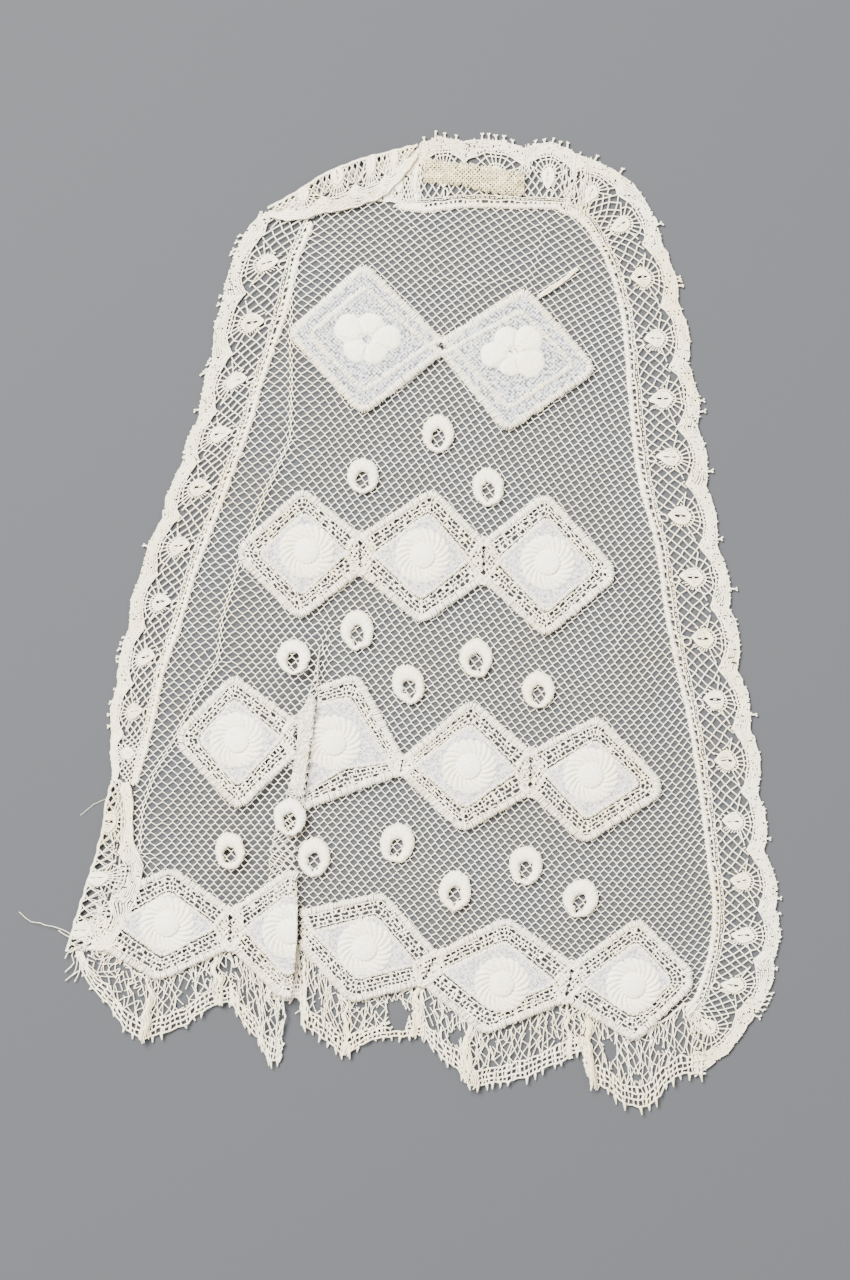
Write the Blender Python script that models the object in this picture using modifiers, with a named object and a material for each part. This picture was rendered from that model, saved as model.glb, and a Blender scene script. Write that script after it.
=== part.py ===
"""A lace jabot laid flat on a table, seen from above with its neck towards +Y.

A net ground with one knife pleat carries lawn lozenges and satin-stitched eyelet rings. A scalloped
edging is joined to its sides and neck over a whipped cord, and a gathered frill of the same lace
hangs from the zigzag hem. Sizes and places are in millimetres and become metres in the meshes.
"""
import math
from functools import partial

import bmesh
import bpy
from mathutils import Vector

MM = 0.001
WALL = 1.0              # thickness of every cloth wall
HALF = WALL / 2
GAP = 0.35              # between pieces that lie on each other
SLOPE_GAP = 0.1         # added where they lie on a slope
BEND = 0.65             # centre-line radius of a folded edge
LAYER = 2 * BEND        # from one folded layer to the next

CORD_RADIUS = 0.75      # whipped seam cord
CORD_CLEAR = 1.2        # from the cord's centre line to the walls beside it

NAME = "jabot"


def rows(columns, *values):
    """A short table: one dictionary for each row, keyed by the names of the columns."""
    names = columns.split()
    return [dict(zip(names, row)) for row in values]


def look_up(table, by, at, name):
    """Column `name` where column `by` is `at`, straight between rows and level past the ends."""
    ordered = sorted(table, key=lambda row: row[by])
    if at <= ordered[0][by]:
        return ordered[0][name]
    for low, high in zip(ordered, ordered[1:]):
        if at <= high[by]:
            share = (at - low[by]) / (high[by] - low[by])
            return low[name] + share * (high[name] - low[name])
    return ordered[-1][name]


def ease(share):
    share = max(0.0, min(1.0, share))
    return share * share * (3 - 2 * share)


def blend(a, b, share):
    return a + share * (b - a)


# Seam cords, from the neck down or from left to right
CORD_LEFT = rows(
    "x y",
    (-32.2, 116.2), (-36.4, 105.9), (-38.6, 96.0), (-41.3, 86.0), (-46.6, 71.0), (-50.3, 57.7),
    (-57.9, 37.1), (-65.1, 18.0), (-70.3, 0.9), (-75.5, -14.5), (-78.6, -29.3), (-83.0, -46.0))
CORD_TOP = rows(
    "x y",
    (-7.4, 121.7), (-4.0, 120.7), (2.0, 120.4), (12.0, 121.6), (27.0, 121.4), (38.6, 121.1))
CORD_RIGHT = rows(
    "x y",
    (40.6, 119.9), (44.2, 118.6), (47.3, 116.0), (50.6, 111.3), (54.1, 104.4), (57.9, 91.6),
    (59.3, 79.8), (60.8, 61.5), (63.1, 42.9), (68.3, 22.3), (70.9, 4.1), (74.1, -12.2),
    (77.9, -29.3), (80.8, -47.9), (83.4, -69.3), (84.8, -82.1), (83.6, -95.1), (79.8, -107.4),
    (76.6, -111.8))

# The pleat: its seen edge, how far the hidden fold lies behind it, and how far it is turned
PLEAT = rows(
    "y fold_x depth turn",
    (121.0, -8.0, 0.3, 0.0),
    (80.0, -14.0, 0.3, 0.0),
    (40.0, -20.5, 0.3, 0.0),
    (2.0, -24.7, 0.3, 0.0),
    (-4.0, -26.0, 0.3, 45.0),
    (-11.0, -27.9, 0.5, 115.0),
    (-18.0, -29.9, 0.9, 180.0),
    (-25.0, -30.7, 1.8, 180.0),
    (-33.0, -31.6, 2.6, 180.0),
    (-44.0, -32.8, 3.5, 180.0),
    (-52.0, -33.9, 4.5, 180.0),
    (-60.0, -35.7, 5.5, 180.0),
    (-67.0, -36.7, 6.0, 180.0),
    (-75.0, -35.8, 7.0, 180.0),
    (-90.0, -35.9, 8.5, 180.0),
    (-106.0, -37.5, 9.5, 180.0))
LEVEL_RUN = BEND + HALF + 0.6   # the upper layer stays level this far past the hidden fold
SLOPE = 24.0                    # then comes down to the table over this width

# A soft crease down the left side of the net
CREASE = rows(
    "y x lift",
    (121.0, -27.6, 0.0),
    (104.0, -32.6, 0.0),
    (84.0, -38.3, 0.0),
    (71.0, -40.0, 0.9),
    (57.0, -41.5, 1.1),
    (40.0, -46.0, 1.0),
    (21.0, -57.5, 0.7),
    (2.0, -60.0, 1.0),
    (-11.0, -63.5, 0.6),
    (-18.0, -68.0, 0.0),
    (-34.0, -74.0, 0.0),
    (-55.0, -79.5, 0.0),
    (-80.0, -80.5, 0.0),
    (-95.0, -84.0, 0.0))
CREASE_HALF_WIDTH = 1.8

# The net's left edge below the end of the left seam cord, hidden under the folded edging
NET_LEFT_LOWER = rows(
    "y x",
    (-52.0, -84.9), (-67.0, -84.2), (-78.0, -85.6), (-90.0, -90.8), (-94.0, -93.0))

# The net's neck edge, and its zigzag hem on each side of the pleat
NET_NECK = rows(
    "x y",
    (-31.0, 116.0), (-24.0, 121.2), (-16.0, 123.4), (-11.0, 122.3), (-8.0, 120.3), (-4.0, 119.4),
    (2.0, 119.1), (12.0, 120.3), (27.0, 120.1), (38.6, 119.8))
NET_NECK_RIGHT = 38.7
HEM_LEFT = rows(
    "x y",
    (-92.0, -90.5), (-76.5, -101.3), (-55.5, -91.8), (-41.0, -106.5), (-37.5, -104.3))
HEM_RIGHT = rows(
    "x y",
    (-47.0, -98.5), (-35.4, -91.3), (-21.0, -107.8), (-0.5, -102.3), (17.5, -116.8),
    (41.3, -107.3), (61.5, -118.8), (70.0, -113.3), (75.2, -110.8))
NECK_SHARES = (0.0, 0.25, 0.55)     # down from the neck edge to the first level
NET_LEVELS = (104.4, 91.6, 79.8, 68.0, 55.0, 40.0, 21.0, 2.0, -4.0, -11.0, -18.0, -29.0,
              -44.0, -56.0, -67.0, -79.0)
# Where the lines of the weave meet the hem, left of the pleat and right of it
LEFT_COLUMNS = (-76.5, -69.0, -62.0, -55.5, -50.0, -45.5, -41.0)
RIGHT_COLUMNS = (-41.0, -35.4, -28.0, -21.0, -11.0, -0.5, 8.5, 17.5, 29.5, 41.3, 51.5, 61.5, 70.0)
BEND_STEPS = 5

# Edging: the seam and the valley between two scallops, from the neck down or from left to right
EDGE_RIGHT = rows(
    "seam_x seam_y outer_x outer_y bulge",
    (42.0, 120.5, 44.6, 136.2, 1.0), (48.0, 117.2, 60.5, 128.0, 1.6),
    (53.2, 109.5, 69.0, 110.8, 1.4), (58.9, 92.0, 73.9, 92.8, 1.8),
    (60.6, 73.5, 76.6, 75.5, 1.8), (62.3, 57.5, 79.3, 57.0, 1.8),
    (64.4, 41.5, 81.6, 40.5, 1.6), (69.2, 23.5, 85.0, 23.0, 1.8),
    (71.7, 6.0, 88.6, 5.0, 1.8), (75.2, -12.0, 90.8, -13.0, 1.8),
    (79.1, -30.0, 94.6, -30.0, 1.8), (81.9, -47.5, 97.0, -48.0, 1.6),
    (84.1, -65.0, 98.6, -65.5, 2.0), (85.9, -82.0, 101.9, -82.5, 1.8),
    (84.5, -96.5, 101.2, -97.5, 1.8), (79.8, -110.0, 96.0, -112.8, 1.8),
    (77.8, -112.6, 80.4, -129.3, 2.4))
EDGE_LEFT = rows(
    "seam_x seam_y outer_x outer_y bulge",
    (-33.1, 116.6, -48.4, 117.8, 1.0), (-37.9, 105.0, -53.8, 101.5, 1.6),
    (-41.6, 88.5, -56.6, 86.0, 1.6), (-46.8, 73.5, -60.6, 70.0, 1.6),
    (-50.9, 59.5, -65.4, 54.8, 1.6), (-57.4, 41.5, -71.0, 38.6, 1.8),
    (-64.2, 23.5, -77.0, 22.4, 1.6), (-69.4, 7.5, -82.6, 8.0, 1.4),
    (-74.2, -7.0, -85.8, -8.4, 1.4), (-78.6, -22.5, -88.8, -23.4, 1.0),
    (-82.5, -38.0, -89.6, -38.2, 0.5), (-84.8, -43.6, -89.7, -43.4, 0.2))
EDGE_TOP = rows(
    "seam_x seam_y outer_x outer_y bulge",
    (-8.4, 123.1, -8.0, 124.4, 0.0), (-7.0, 122.6, -6.6, 126.9, 0.0),
    (-4.0, 121.9, -3.6, 130.7, 0.0), (-0.8, 121.6, -0.7, 134.8, 0.0),
    (-0.4, 121.6, -0.4, 139.6, 1.4), (12.0, 122.8, 12.0, 139.6, 1.8),
    (29.6, 122.6, 29.8, 137.6, 2.4), (41.3, 121.6, 43.8, 136.6, 0.0))
SCALLOP_STEPS = 4
# Across the edging: heading, open mesh and the dense band along the scallops
EDGE_PROFILE = rows(
    "share height",
    (0.0, 1.1), (0.08, 1.2), (0.15, 1.0), (0.74, 1.0), (0.81, 1.2), (1.0, 1.1))

# Edging folded over itself: the fold, the hidden lower edge and the flap's edge
FOLD_TOP_LEFT = rows(
    "fold_x fold_y under_x under_y flap_x flap_y",
    (-45.0, 120.9, -44.4, 119.0, -44.4, 118.0), (-40.0, 123.4, -39.0, 119.0, -39.0, 117.3),
    (-35.0, 126.4, -33.5, 118.2, -33.5, 117.9), (-30.0, 129.8, -28.5, 119.6, -28.3, 119.6),
    (-25.0, 132.2, -23.6, 122.1, -23.4, 120.3), (-20.0, 134.3, -19.0, 123.3, -18.8, 121.5),
    (-15.0, 135.9, -14.5, 123.9, -14.3, 123.0), (-10.6, 136.9, -10.4, 123.4, -10.4, 124.8),
    (-8.2, 137.5, -8.4, 126.2, -8.4, 127.2), (-4.8, 138.4, -4.8, 130.6, -4.8, 131.4),
    (-1.5, 139.4, -1.5, 135.2, -1.5, 135.8))
FOLD_LEFT_LOWER = rows(
    "fold_x fold_y under_x under_y flap_x flap_y",
    (-90.1, -45.0, -86.4, -45.0, -85.0, -45.4), (-91.3, -50.0, -86.0, -50.0, -84.0, -50.0),
    (-92.3, -57.0, -85.8, -57.0, -84.0, -57.0), (-93.9, -64.0, -85.4, -64.0, -83.6, -64.0),
    (-95.4, -69.4, -85.2, -69.4, -80.8, -69.4), (-97.0, -74.0, -85.9, -74.0, -81.8, -74.0),
    (-98.8, -79.5, -87.4, -79.5, -83.2, -79.5), (-100.4, -85.0, -89.8, -85.0, -85.4, -85.0),
    (-101.9, -90.0, -92.0, -90.0, -88.6, -90.0), (-103.4, -94.6, -94.2, -94.0, -91.4, -93.8))

# The strip of tape on the neck edging
TAPE = rows(
    "x low high",
    (0.6, 126.6, 133.8), (6.0, 126.9, 133.3), (12.0, 127.0, 132.4), (18.0, 125.4, 132.8),
    (24.0, 124.8, 131.6), (29.0, 124.7, 130.6))
TAPE_BOTTOM = 1.5

# Frill: gathers from their root under the lozenges to the picot edge, crest and trough in turn
FRILL_LEFT = rows(
    "root_x root_y hem_x hem_y lift",
    (-93.6, -94.6, -100.2, -96.8, 0.2), (-91.2, -95.6, -98.6, -101.2, 0.8),
    (-89.2, -96.8, -96.2, -106.0, 0.0), (-87.2, -98.0, -92.3, -109.4, 1.2),
    (-85.2, -99.1, -89.9, -113.0, 0.0), (-83.2, -100.3, -87.2, -117.4, 1.2),
    (-81.2, -101.2, -84.2, -119.8, 0.0), (-79.2, -102.0, -81.0, -121.2, 1.8),
    (-76.9, -102.4, -78.0, -120.2, 0.0), (-74.6, -101.7, -75.1, -119.2, 1.0),
    (-72.2, -100.7, -72.3, -118.5, 0.0), (-69.8, -99.6, -69.2, -117.0, 1.0),
    (-67.2, -98.4, -66.2, -115.0, 0.0), (-64.8, -97.2, -63.4, -112.8, 1.2),
    (-62.2, -96.0, -60.8, -111.4, 0.0), (-59.6, -94.8, -58.3, -110.6, 1.6),
    (-56.2, -93.3, -55.9, -110.3, 0.0))
FRILL_FOLD = rows(
    "root_x root_y hem_x hem_y lift",
    (-55.2, -93.3, -55.0, -110.8, 0.0), (-53.6, -94.8, -53.5, -113.6, 0.9),
    (-51.8, -96.6, -51.6, -116.8, 0.0), (-50.0, -98.4, -49.8, -118.7, 1.0),
    (-48.2, -100.3, -47.8, -121.2, 0.0), (-46.6, -101.9, -46.2, -124.2, 1.0),
    (-44.9, -103.7, -44.9, -126.8, 0.0), (-43.0, -105.6, -43.5, -127.7, 1.0),
    (-41.1, -107.6, -42.2, -127.6, 0.0), (-39.8, -107.0, -41.2, -126.4, 0.2))
FRILL_UNDER = rows(
    "root_x root_y hem_x hem_y lift",
    (-44.0, -98.2, -43.4, -108.8, 0.0), (-41.4, -96.4, -40.8, -109.4, 0.1),
    (-38.9, -94.8, -38.7, -109.7, 0.0), (-37.2, -93.7, -37.2, -108.9, 0.1),
    (-36.0, -93.2, -35.9, -109.3, 0.0))
FRILL_MIDDLE = rows(
    "root_x root_y hem_x hem_y lift",
    (-34.6, -94.2, -35.0, -114.4, 0.0), (-32.6, -96.2, -34.2, -117.4, 1.2),
    (-30.7, -98.4, -31.9, -118.8, 0.0), (-28.8, -100.6, -29.6, -120.4, 1.0),
    (-26.8, -102.9, -27.2, -122.2, 0.0), (-24.8, -105.2, -25.0, -124.0, 1.1),
    (-22.8, -107.6, -23.0, -126.0, 0.0), (-20.8, -108.9, -20.8, -124.9, 1.0),
    (-18.5, -108.3, -18.7, -123.0, 0.0), (-16.0, -107.7, -16.3, -121.8, 0.8),
    (-13.5, -107.0, -13.9, -120.8, 0.0), (-11.0, -106.3, -11.3, -120.2, 0.7),
    (-8.5, -105.7, -8.7, -120.0, 0.0), (-6.0, -105.0, -6.2, -120.2, 0.6),
    (-3.6, -104.4, -3.8, -120.0, 1.2), (-1.6, -103.8, -1.8, -119.9, 0.0),
    (-0.1, -103.5, -0.3, -120.0, 0.6))
FRILL_RIGHT = rows(
    "root_x root_y hem_x hem_y lift",
    (0.6, -104.4, 0.4, -120.2, 0.0), (3.0, -106.3, 2.8, -122.8, 1.0),
    (5.2, -108.1, 5.2, -126.0, 0.0), (7.4, -109.9, 7.6, -127.8, 0.9),
    (9.6, -111.6, 9.8, -129.2, 0.0), (11.8, -113.4, 11.6, -132.2, 1.2),
    (14.0, -115.2, 13.6, -134.2, 2.0), (16.0, -116.8, 15.8, -134.8, 1.6),
    (18.2, -117.6, 17.8, -134.8, 0.0), (20.6, -116.6, 20.0, -133.7, 1.0),
    (23.0, -115.7, 22.4, -134.0, 0.0), (25.4, -114.7, 25.0, -133.4, 0.9),
    (27.8, -113.8, 27.5, -132.8, 0.0), (30.2, -112.8, 30.1, -132.0, 0.9),
    (32.6, -111.9, 32.7, -131.2, 0.0), (35.0, -110.9, 35.5, -129.4, 1.0),
    (37.3, -110.0, 38.1, -128.6, 0.0), (39.6, -109.0, 40.6, -127.8, 0.9),
    (41.6, -108.6, 43.0, -125.8, 0.0), (43.2, -109.2, 45.2, -124.6, 0.8),
    (44.6, -110.0, 46.3, -124.4, 0.0))
FRILL_CORNER = rows(
    "root_x root_y hem_x hem_y lift",
    (46.0, -110.9, 47.8, -130.6, 0.6), (47.8, -111.9, 49.2, -134.6, 1.8),
    (50.0, -113.2, 51.2, -134.8, 0.0), (52.3, -114.5, 53.8, -135.8, 1.0),
    (54.6, -115.8, 56.2, -138.4, 0.0), (56.9, -117.2, 58.5, -140.2, 1.1),
    (59.2, -118.5, 60.8, -140.8, 0.0), (61.6, -119.8, 63.2, -141.0, 1.1),
    (64.0, -118.3, 65.8, -140.8, 0.0), (66.3, -116.7, 68.2, -138.4, 1.1),
    (68.5, -115.3, 70.4, -134.8, 0.0), (70.6, -114.6, 72.6, -132.6, 1.4),
    (72.8, -114.0, 74.9, -131.6, 0.2), (75.4, -113.6, 77.8, -131.6, 0.8))
FRILL_SHARES = (0.0, 0.2, 0.5, 0.8, 1.0)
FRILL_RAISE = 0.22      # keeps the sloping walls of the troughs off the table

# Rips in the frill: centre, half width and half length
RIPS = rows(
    "frill x y half_width half_length lean",
    ("frill_middle", -7.2, -113.2, 2.6, 4.4, 12.0),
    ("frill_corner", 54.3, -123.4, 1.9, 3.3, 8.0))

# Lozenges: outline corners, the motif's centre, and which layer of the pleat each lies on
LOZENGES = rows(
    "name top left_high left_low bottom right_low right_high motif over kind cut",
    ("lozenge_1_left", (-17.0, 105.0), (-38.6, 85.3), (-38.6, 83.5), (-17.5, 60.4),
     (5.3, 78.2), (5.3, 83.0), (-16.0, 82.6), False, "flower", ""),
    ("lozenge_1_right", (29.8, 98.0), (5.9, 82.8), (5.9, 78.2), (24.1, 55.4),
     (49.8, 73.0), (49.4, 75.6), (26.4, 78.8), False, "flower", ""),
    ("lozenge_2_left", (-34.8, 40.2), (-53.8, 22.4), (-53.4, 18.6), (-36.0, 1.0),
     (-18.2, 14.4), (-18.4, 26.8), (-33.5, 21.3), False, "swirl", ""),
    ("lozenge_2_middle", (3.0, 40.0), (-17.8, 26.8), (-17.7, 14.2), (-0.6, -0.2),
     (17.3, 11.8), (17.5, 25.4), (0.0, 20.0), False, "swirl", ""),
    ("lozenge_2_right", (35.6, 38.8), (18.1, 25.4), (17.9, 11.8), (35.4, -4.0),
     (55.6, 12.6), (55.8, 16.8), (36.2, 18.0), False, "swirl", ""),
    ("lozenge_3_left", (-55.0, -13.9), (-71.0, -30.6), (-71.0, -35.6), (-53.4, -54.2),
     (-37.1, -38.6), (-37.1, -26.6), (-53.8, -33.4), True, "swirl", ""),
    ("lozenge_3_fold", (-31.2, -18.8), (-36.4, -26.6), (-36.6, -38.8), (-38.2, -49.6),
     (-34.6, -50.6), (-32.0, -30.0), (-34.5, -33.0), True, "plain", ""),
    ("lozenge_3_pleat", (-18.6, -13.7), (-45.0, -22.6), (-45.0, -57.4), (-20.0, -48.6),
     (-6.9, -43.6), (-5.8, -38.0), (-25.7, -34.2), False, "swirl", "right_of_fold"),
    ("lozenge_3_middle", (14.2, -21.0), (-5.0, -38.0), (-6.3, -43.4), (11.5, -60.6),
     (30.9, -49.8), (31.1, -35.6), (13.4, -41.0), False, "swirl", ""),
    ("lozenge_3_right", (51.0, -25.9), (31.7, -35.6), (31.5, -49.8), (46.6, -63.8),
     (69.3, -49.6), (68.9, -44.6), (48.7, -43.6), False, "swirl", ""),
    ("lozenge_4_left", (-72.6, -69.7), (-92.4, -78.0), (-92.4, -94.6), (-76.6, -103.5),
     (-56.0, -94.0), (-55.8, -81.4), (-74.0, -86.6), True, "swirl", "right_of_flap"),
    ("lozenge_4_fold", (-38.0, -69.9), (-55.2, -81.6), (-55.4, -94.0), (-39.6, -109.2),
     (-20.6, -96.0), (-20.6, -80.6), (-38.4, -88.5), True, "swirl", "left_of_fold"),
    ("lozenge_4_pleat", (-11.2, -77.0), (-35.1, -82.2), (-35.4, -93.4), (-21.0, -109.9),
     (-0.9, -104.5), (4.2, -94.2), (-16.7, -93.6), False, "swirl", ""),
    ("lozenge_4_middle", (24.4, -84.0), (4.9, -94.2), (-0.2, -104.5), (17.6, -119.0),
     (40.9, -109.5), (43.5, -97.3), (22.9, -104.0), False, "swirl", ""),
    ("lozenge_4_right", (62.4, -84.3), (44.1, -97.3), (41.5, -109.5), (61.5, -121.0),
     (78.4, -105.0), (78.4, -99.8), (61.0, -104.4), False, "swirl", ""))
CORNER_ROUND = 1.6      # a corner is cut this far from its point
CUT_CLEAR = 0.4         # where a lozenge ends beside the pleat's fold or the flap
CUT_REACH = 60.0
CUT_PAST_END = 6.0
# From the outline towards the lawn: the outer cord, the drawn-work band and the inner cord
BORDER = rows(
    "share height",
    (0.0, 0.7), (0.17, 1.5), (0.34, 0.9), (0.78, 0.9), (0.89, 1.3), (1.0, 1.0))
LAWN_IN_TOP = 7.8       # from the outline's corners to those of the lawn
LAWN_IN_SIDE = 6.0
# The raised motifs, from their rim inwards
SWIRL = rows("radius height", (7.4, 1.0), (6.6, 1.4), (4.2, 1.3), (2.8, 1.9))
FLOWER = rows("radius height", (9.0, 1.0), (8.0, 2.0), (3.4, 2.1), (1.6, 1.3))
FLOWER_WIDTH = 1.12     # the flower is wider than it is tall
FLOWER_HEIGHT = 0.88
PETALS = 6
PETAL_DEPTH = 0.07

# Eyelet rings: centre, half width, half height, lean and layer
RINGS = rows(
    "x y half_width half_height lean over",
    (4.5, 55.4, 4.6, 5.6, 0.0, False), (-17.3, 43.2, 4.6, 5.2, 0.0, False),
    (19.0, 40.0, 4.6, 5.6, 5.0, False), (-37.3, -9.2, 4.9, 5.0, 0.0, True),
    (-18.9, -1.5, 4.8, 5.8, 0.0, False), (-4.1, -17.2, 4.6, 5.9, 16.0, False),
    (15.5, -9.6, 4.7, 5.6, 0.0, False), (33.5, -18.7, 4.8, 5.4, 0.0, False),
    (-55.7, -65.4, 4.3, 5.6, 0.0, True), (-38.4, -55.5, 4.7, 5.4, 0.0, True),
    (-31.4, -67.3, 4.7, 5.8, 0.0, False), (-7.3, -63.2, 5.1, 5.8, -8.0, False),
    (9.4, -77.0, 4.8, 5.9, -4.0, False), (29.9, -69.6, 4.8, 5.7, 0.0, False),
    (45.8, -79.2, 5.1, 5.7, -16.0, False))
RING_STEPS = 12
HOLE_HALF_WIDTH = 1.9
HOLE_HALF_HEIGHT = 2.5
HOLE_LOWER = 1.3        # the hole sits below the ring's centre
RING_PROFILE = rows(
    "share height",
    (0.0, 0.0), (0.0, 0.7), (0.45, 1.3), (1.0, 0.8), (1.0, 0.0))


def clear_scene():
    for item in list(bpy.data.objects):
        bpy.data.objects.remove(item, do_unlink=True)


def new_collection(name):
    collection = bpy.data.collections.new(name)
    bpy.context.scene.collection.children.link(collection)
    return collection


def finish(name, colour, roughness):
    """A Principled material in the part's colour."""
    material = bpy.data.materials.new(name)
    material.use_nodes = True
    shader = material.node_tree.nodes["Principled BSDF"]
    shader.inputs["Base Color"].default_value = (*colour, 1.0)
    shader.inputs["Roughness"].default_value = roughness
    shader.inputs["Metallic"].default_value = 0.0
    material.diffuse_color = (*colour, 1.0)
    return material


def add_mesh(name, points, faces, material, collection):
    mesh = bpy.data.meshes.new(name)
    mesh.from_pydata([Vector(point) * MM for point in points], [], faces)
    mesh.materials.append(material)
    item = bpy.data.objects.new(name, mesh)
    collection.objects.link(item)
    return item


def cloth_wall(name, grid, material, collection):
    """A sheet of cloth: the grid of mid-plane points gets its thickness from Solidify."""
    across = len(grid[0])
    points = [point for line in grid for point in line]
    faces = []
    for i in range(len(grid) - 1):
        for j in range(across - 1):
            corner = i * across + j
            faces.append((corner, corner + 1, corner + across + 1, corner + across))
    item = add_mesh(name, points, faces, material, collection)
    wall = item.modifiers.new("wall", "SOLIDIFY")
    wall.thickness = WALL * MM
    wall.offset = 0.0
    wall.use_even_offset = True
    return item


def loft(name, sections, closed, material, collection):
    """A solid through closed sections of equally many points, capped unless it runs round."""
    count = len(sections[0])
    points = [point for section in sections for point in section]
    faces = []
    last = len(sections) if closed else len(sections) - 1
    for i in range(last):
        here = i * count
        there = (i + 1) % len(sections) * count
        for j in range(count):
            k = (j + 1) % count
            faces.append((here + j, here + k, there + k, there + j))
    if not closed:
        faces.append(tuple(range(count)))
        faces.append(tuple(range(len(points) - count, len(points))))
    item = add_mesh(name, points, faces, material, collection)
    shape = bmesh.new()
    shape.from_mesh(item.data)
    bmesh.ops.recalc_face_normals(shape, faces=shape.faces)
    shape.to_mesh(item.data)
    shape.free()
    return item


def pleat_at(y):
    """The pleat's section at y: where its bends start and end, and how high it lifts the cloth."""
    depth = look_up(PLEAT, "y", y, "depth")
    turn = max(math.radians(look_up(PLEAT, "y", y, "turn")), 0.001)
    hidden_x = look_up(PLEAT, "y", y, "fold_x") - HALF - BEND - depth
    bend = math.pi * BEND
    radius = bend / turn
    left_x = hidden_x - 2 * radius * math.sin(turn) - depth * math.cos(turn)
    rise = 2 * radius * (1 - math.cos(turn)) + depth * math.sin(turn)
    return dict(depth=depth, turn=turn, hidden_x=hidden_x, bend=bend, radius=radius,
                left_x=left_x, rise=rise)


def pleat_point(y, along):
    """A point of the pleat's mid-plane, `along` millimetres of cloth from the hidden bend's start."""
    pleat = pleat_at(y)
    radius, turn = pleat["radius"], pleat["turn"]
    turned = min(along, pleat["bend"]) / radius
    x = pleat["hidden_x"] - radius * math.sin(turned)
    z = HALF + radius * (1 - math.cos(turned))
    run = min(max(along - pleat["bend"], 0.0), pleat["depth"])
    x -= run * math.cos(turn)
    z += run * math.sin(turn)
    rest = along - pleat["bend"] - pleat["depth"]
    if rest > 0:
        back = turn - rest / radius
        x -= radius * (math.sin(turn) - math.sin(back))
        z += radius * (math.cos(back) - math.cos(turn))
    return x, y, z


def over_height(x, y):
    """Mid-plane height of the cloth left of the pleat, which comes down to the table."""
    pleat = pleat_at(y)
    start = pleat["left_x"] - pleat["depth"] - LEVEL_RUN
    return HALF + pleat["rise"] * (1 - ease((start - x) / SLOPE))


def beside(path, distance):
    """The path moved sideways: to its left as it runs for a positive distance."""
    line = [Vector((row["x"], row["y"])) for row in path]
    moved = []
    for i, point in enumerate(line):
        ahead = line[min(i + 1, len(line) - 1)] - line[max(i - 1, 0)]
        side = Vector((-ahead.y, ahead.x)).normalized()
        moved.append(point + side * distance)
    return [dict(x=point.x, y=point.y) for point in moved]


def net_edges():
    """Tables of the net's left and right edges, clear of the seam cords."""
    left = beside(CORD_LEFT, CORD_CLEAR) + NET_LEFT_LOWER
    right = [dict(x=NET_NECK_RIGHT, y=NET_NECK[-1]["y"])] + beside(CORD_RIGHT, -CORD_CLEAR)
    return left, right


def net_lines(left_edge, right_edge):
    """The net's lines from left to right: each gives its place at a level, and its hem level."""

    def crease_span(y):
        edge = look_up(left_edge, "y", y, "x")
        crease = look_up(CREASE, "y", y, "x")
        return edge, crease, min(CREASE_HALF_WIDTH, 0.35 * (crease - edge))

    def margin_point(share, y):
        edge, crease, half = crease_span(y)
        x = blend(edge, crease - half, share)
        return x, y, over_height(x, y)

    def crease_point(side, y):
        edge, crease, half = crease_span(y)
        x = crease + side * half
        lift = 0.0 if side else look_up(CREASE, "y", y, "lift")
        return x, y, over_height(x, y) + lift

    def panel_ends(y):
        edge, crease, half = crease_span(y)
        return crease + half, pleat_at(y)["left_x"]

    def panel_point(share, y):
        x = blend(*panel_ends(y), share)
        return x, y, over_height(x, y)

    def right_ends(y):
        return pleat_at(y)["hidden_x"], look_up(right_edge, "y", y, "x")

    def right_point(share, y):
        return blend(*right_ends(y), share), y, HALF

    def share_at_hem(column, ends, table):
        first, last = ends(look_up(table, "x", column, "y"))
        return (column - first) / (last - first)

    def pleat_line(part, share, y):
        pleat = pleat_at(y)
        start = dict(seen=pleat["bend"] + pleat["depth"], back=pleat["bend"], hidden=0.0)[part]
        length = dict(seen=pleat["bend"], back=pleat["depth"], hidden=pleat["bend"])[part]
        return pleat_point(y, start + length * (1 - share))

    def with_hem(place, table):
        y = table[0]["y"]
        for _ in range(8):
            y = look_up(table, "x", place(y)[0], "y")
        return place, y

    lines = [with_hem(partial(margin_point, share), HEM_LEFT) for share in (0.0, 0.5)]
    lines += [with_hem(partial(crease_point, side), HEM_LEFT) for side in (-1, 0, 1)]
    for column in LEFT_COLUMNS:
        share = share_at_hem(column, panel_ends, HEM_LEFT)
        lines.append(with_hem(partial(panel_point, share), HEM_LEFT))
    lines.append(with_hem(partial(panel_point, 1.0), HEM_LEFT))

    bend_shares = [step / BEND_STEPS for step in range(1, BEND_STEPS + 1)]
    turns = [("seen", share) for share in bend_shares] + [("back", 1.0)]
    turns += [("hidden", share) for share in bend_shares[:-1]]
    for i, (part, share) in enumerate(turns):
        hem = blend(HEM_LEFT[-1]["y"], HEM_RIGHT[0]["y"], (i + 1) / (len(turns) + 1))
        lines.append((partial(pleat_line, part, share), hem))

    lines.append(with_hem(partial(right_point, 0.0), HEM_RIGHT))
    for column in RIGHT_COLUMNS:
        share = share_at_hem(column, right_ends, HEM_RIGHT)
        lines.append(with_hem(partial(right_point, share), HEM_RIGHT))
    lines.append(with_hem(partial(right_point, 1.0), HEM_RIGHT))
    return lines


def build_net(material, collection):
    lines = net_lines(*net_edges())
    grid = []
    for place, hem in lines:
        neck = NET_NECK[0]["y"]
        for _ in range(6):
            neck = look_up(NET_NECK, "x", place(neck)[0], "y")
        levels = [blend(neck, NET_LEVELS[0], share) for share in NECK_SHARES]
        levels += [*NET_LEVELS, blend(NET_LEVELS[-1], hem, 0.55), hem]
        grid.append([place(y) for y in levels])
    return cloth_wall("net_ground", grid, material, collection)


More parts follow.
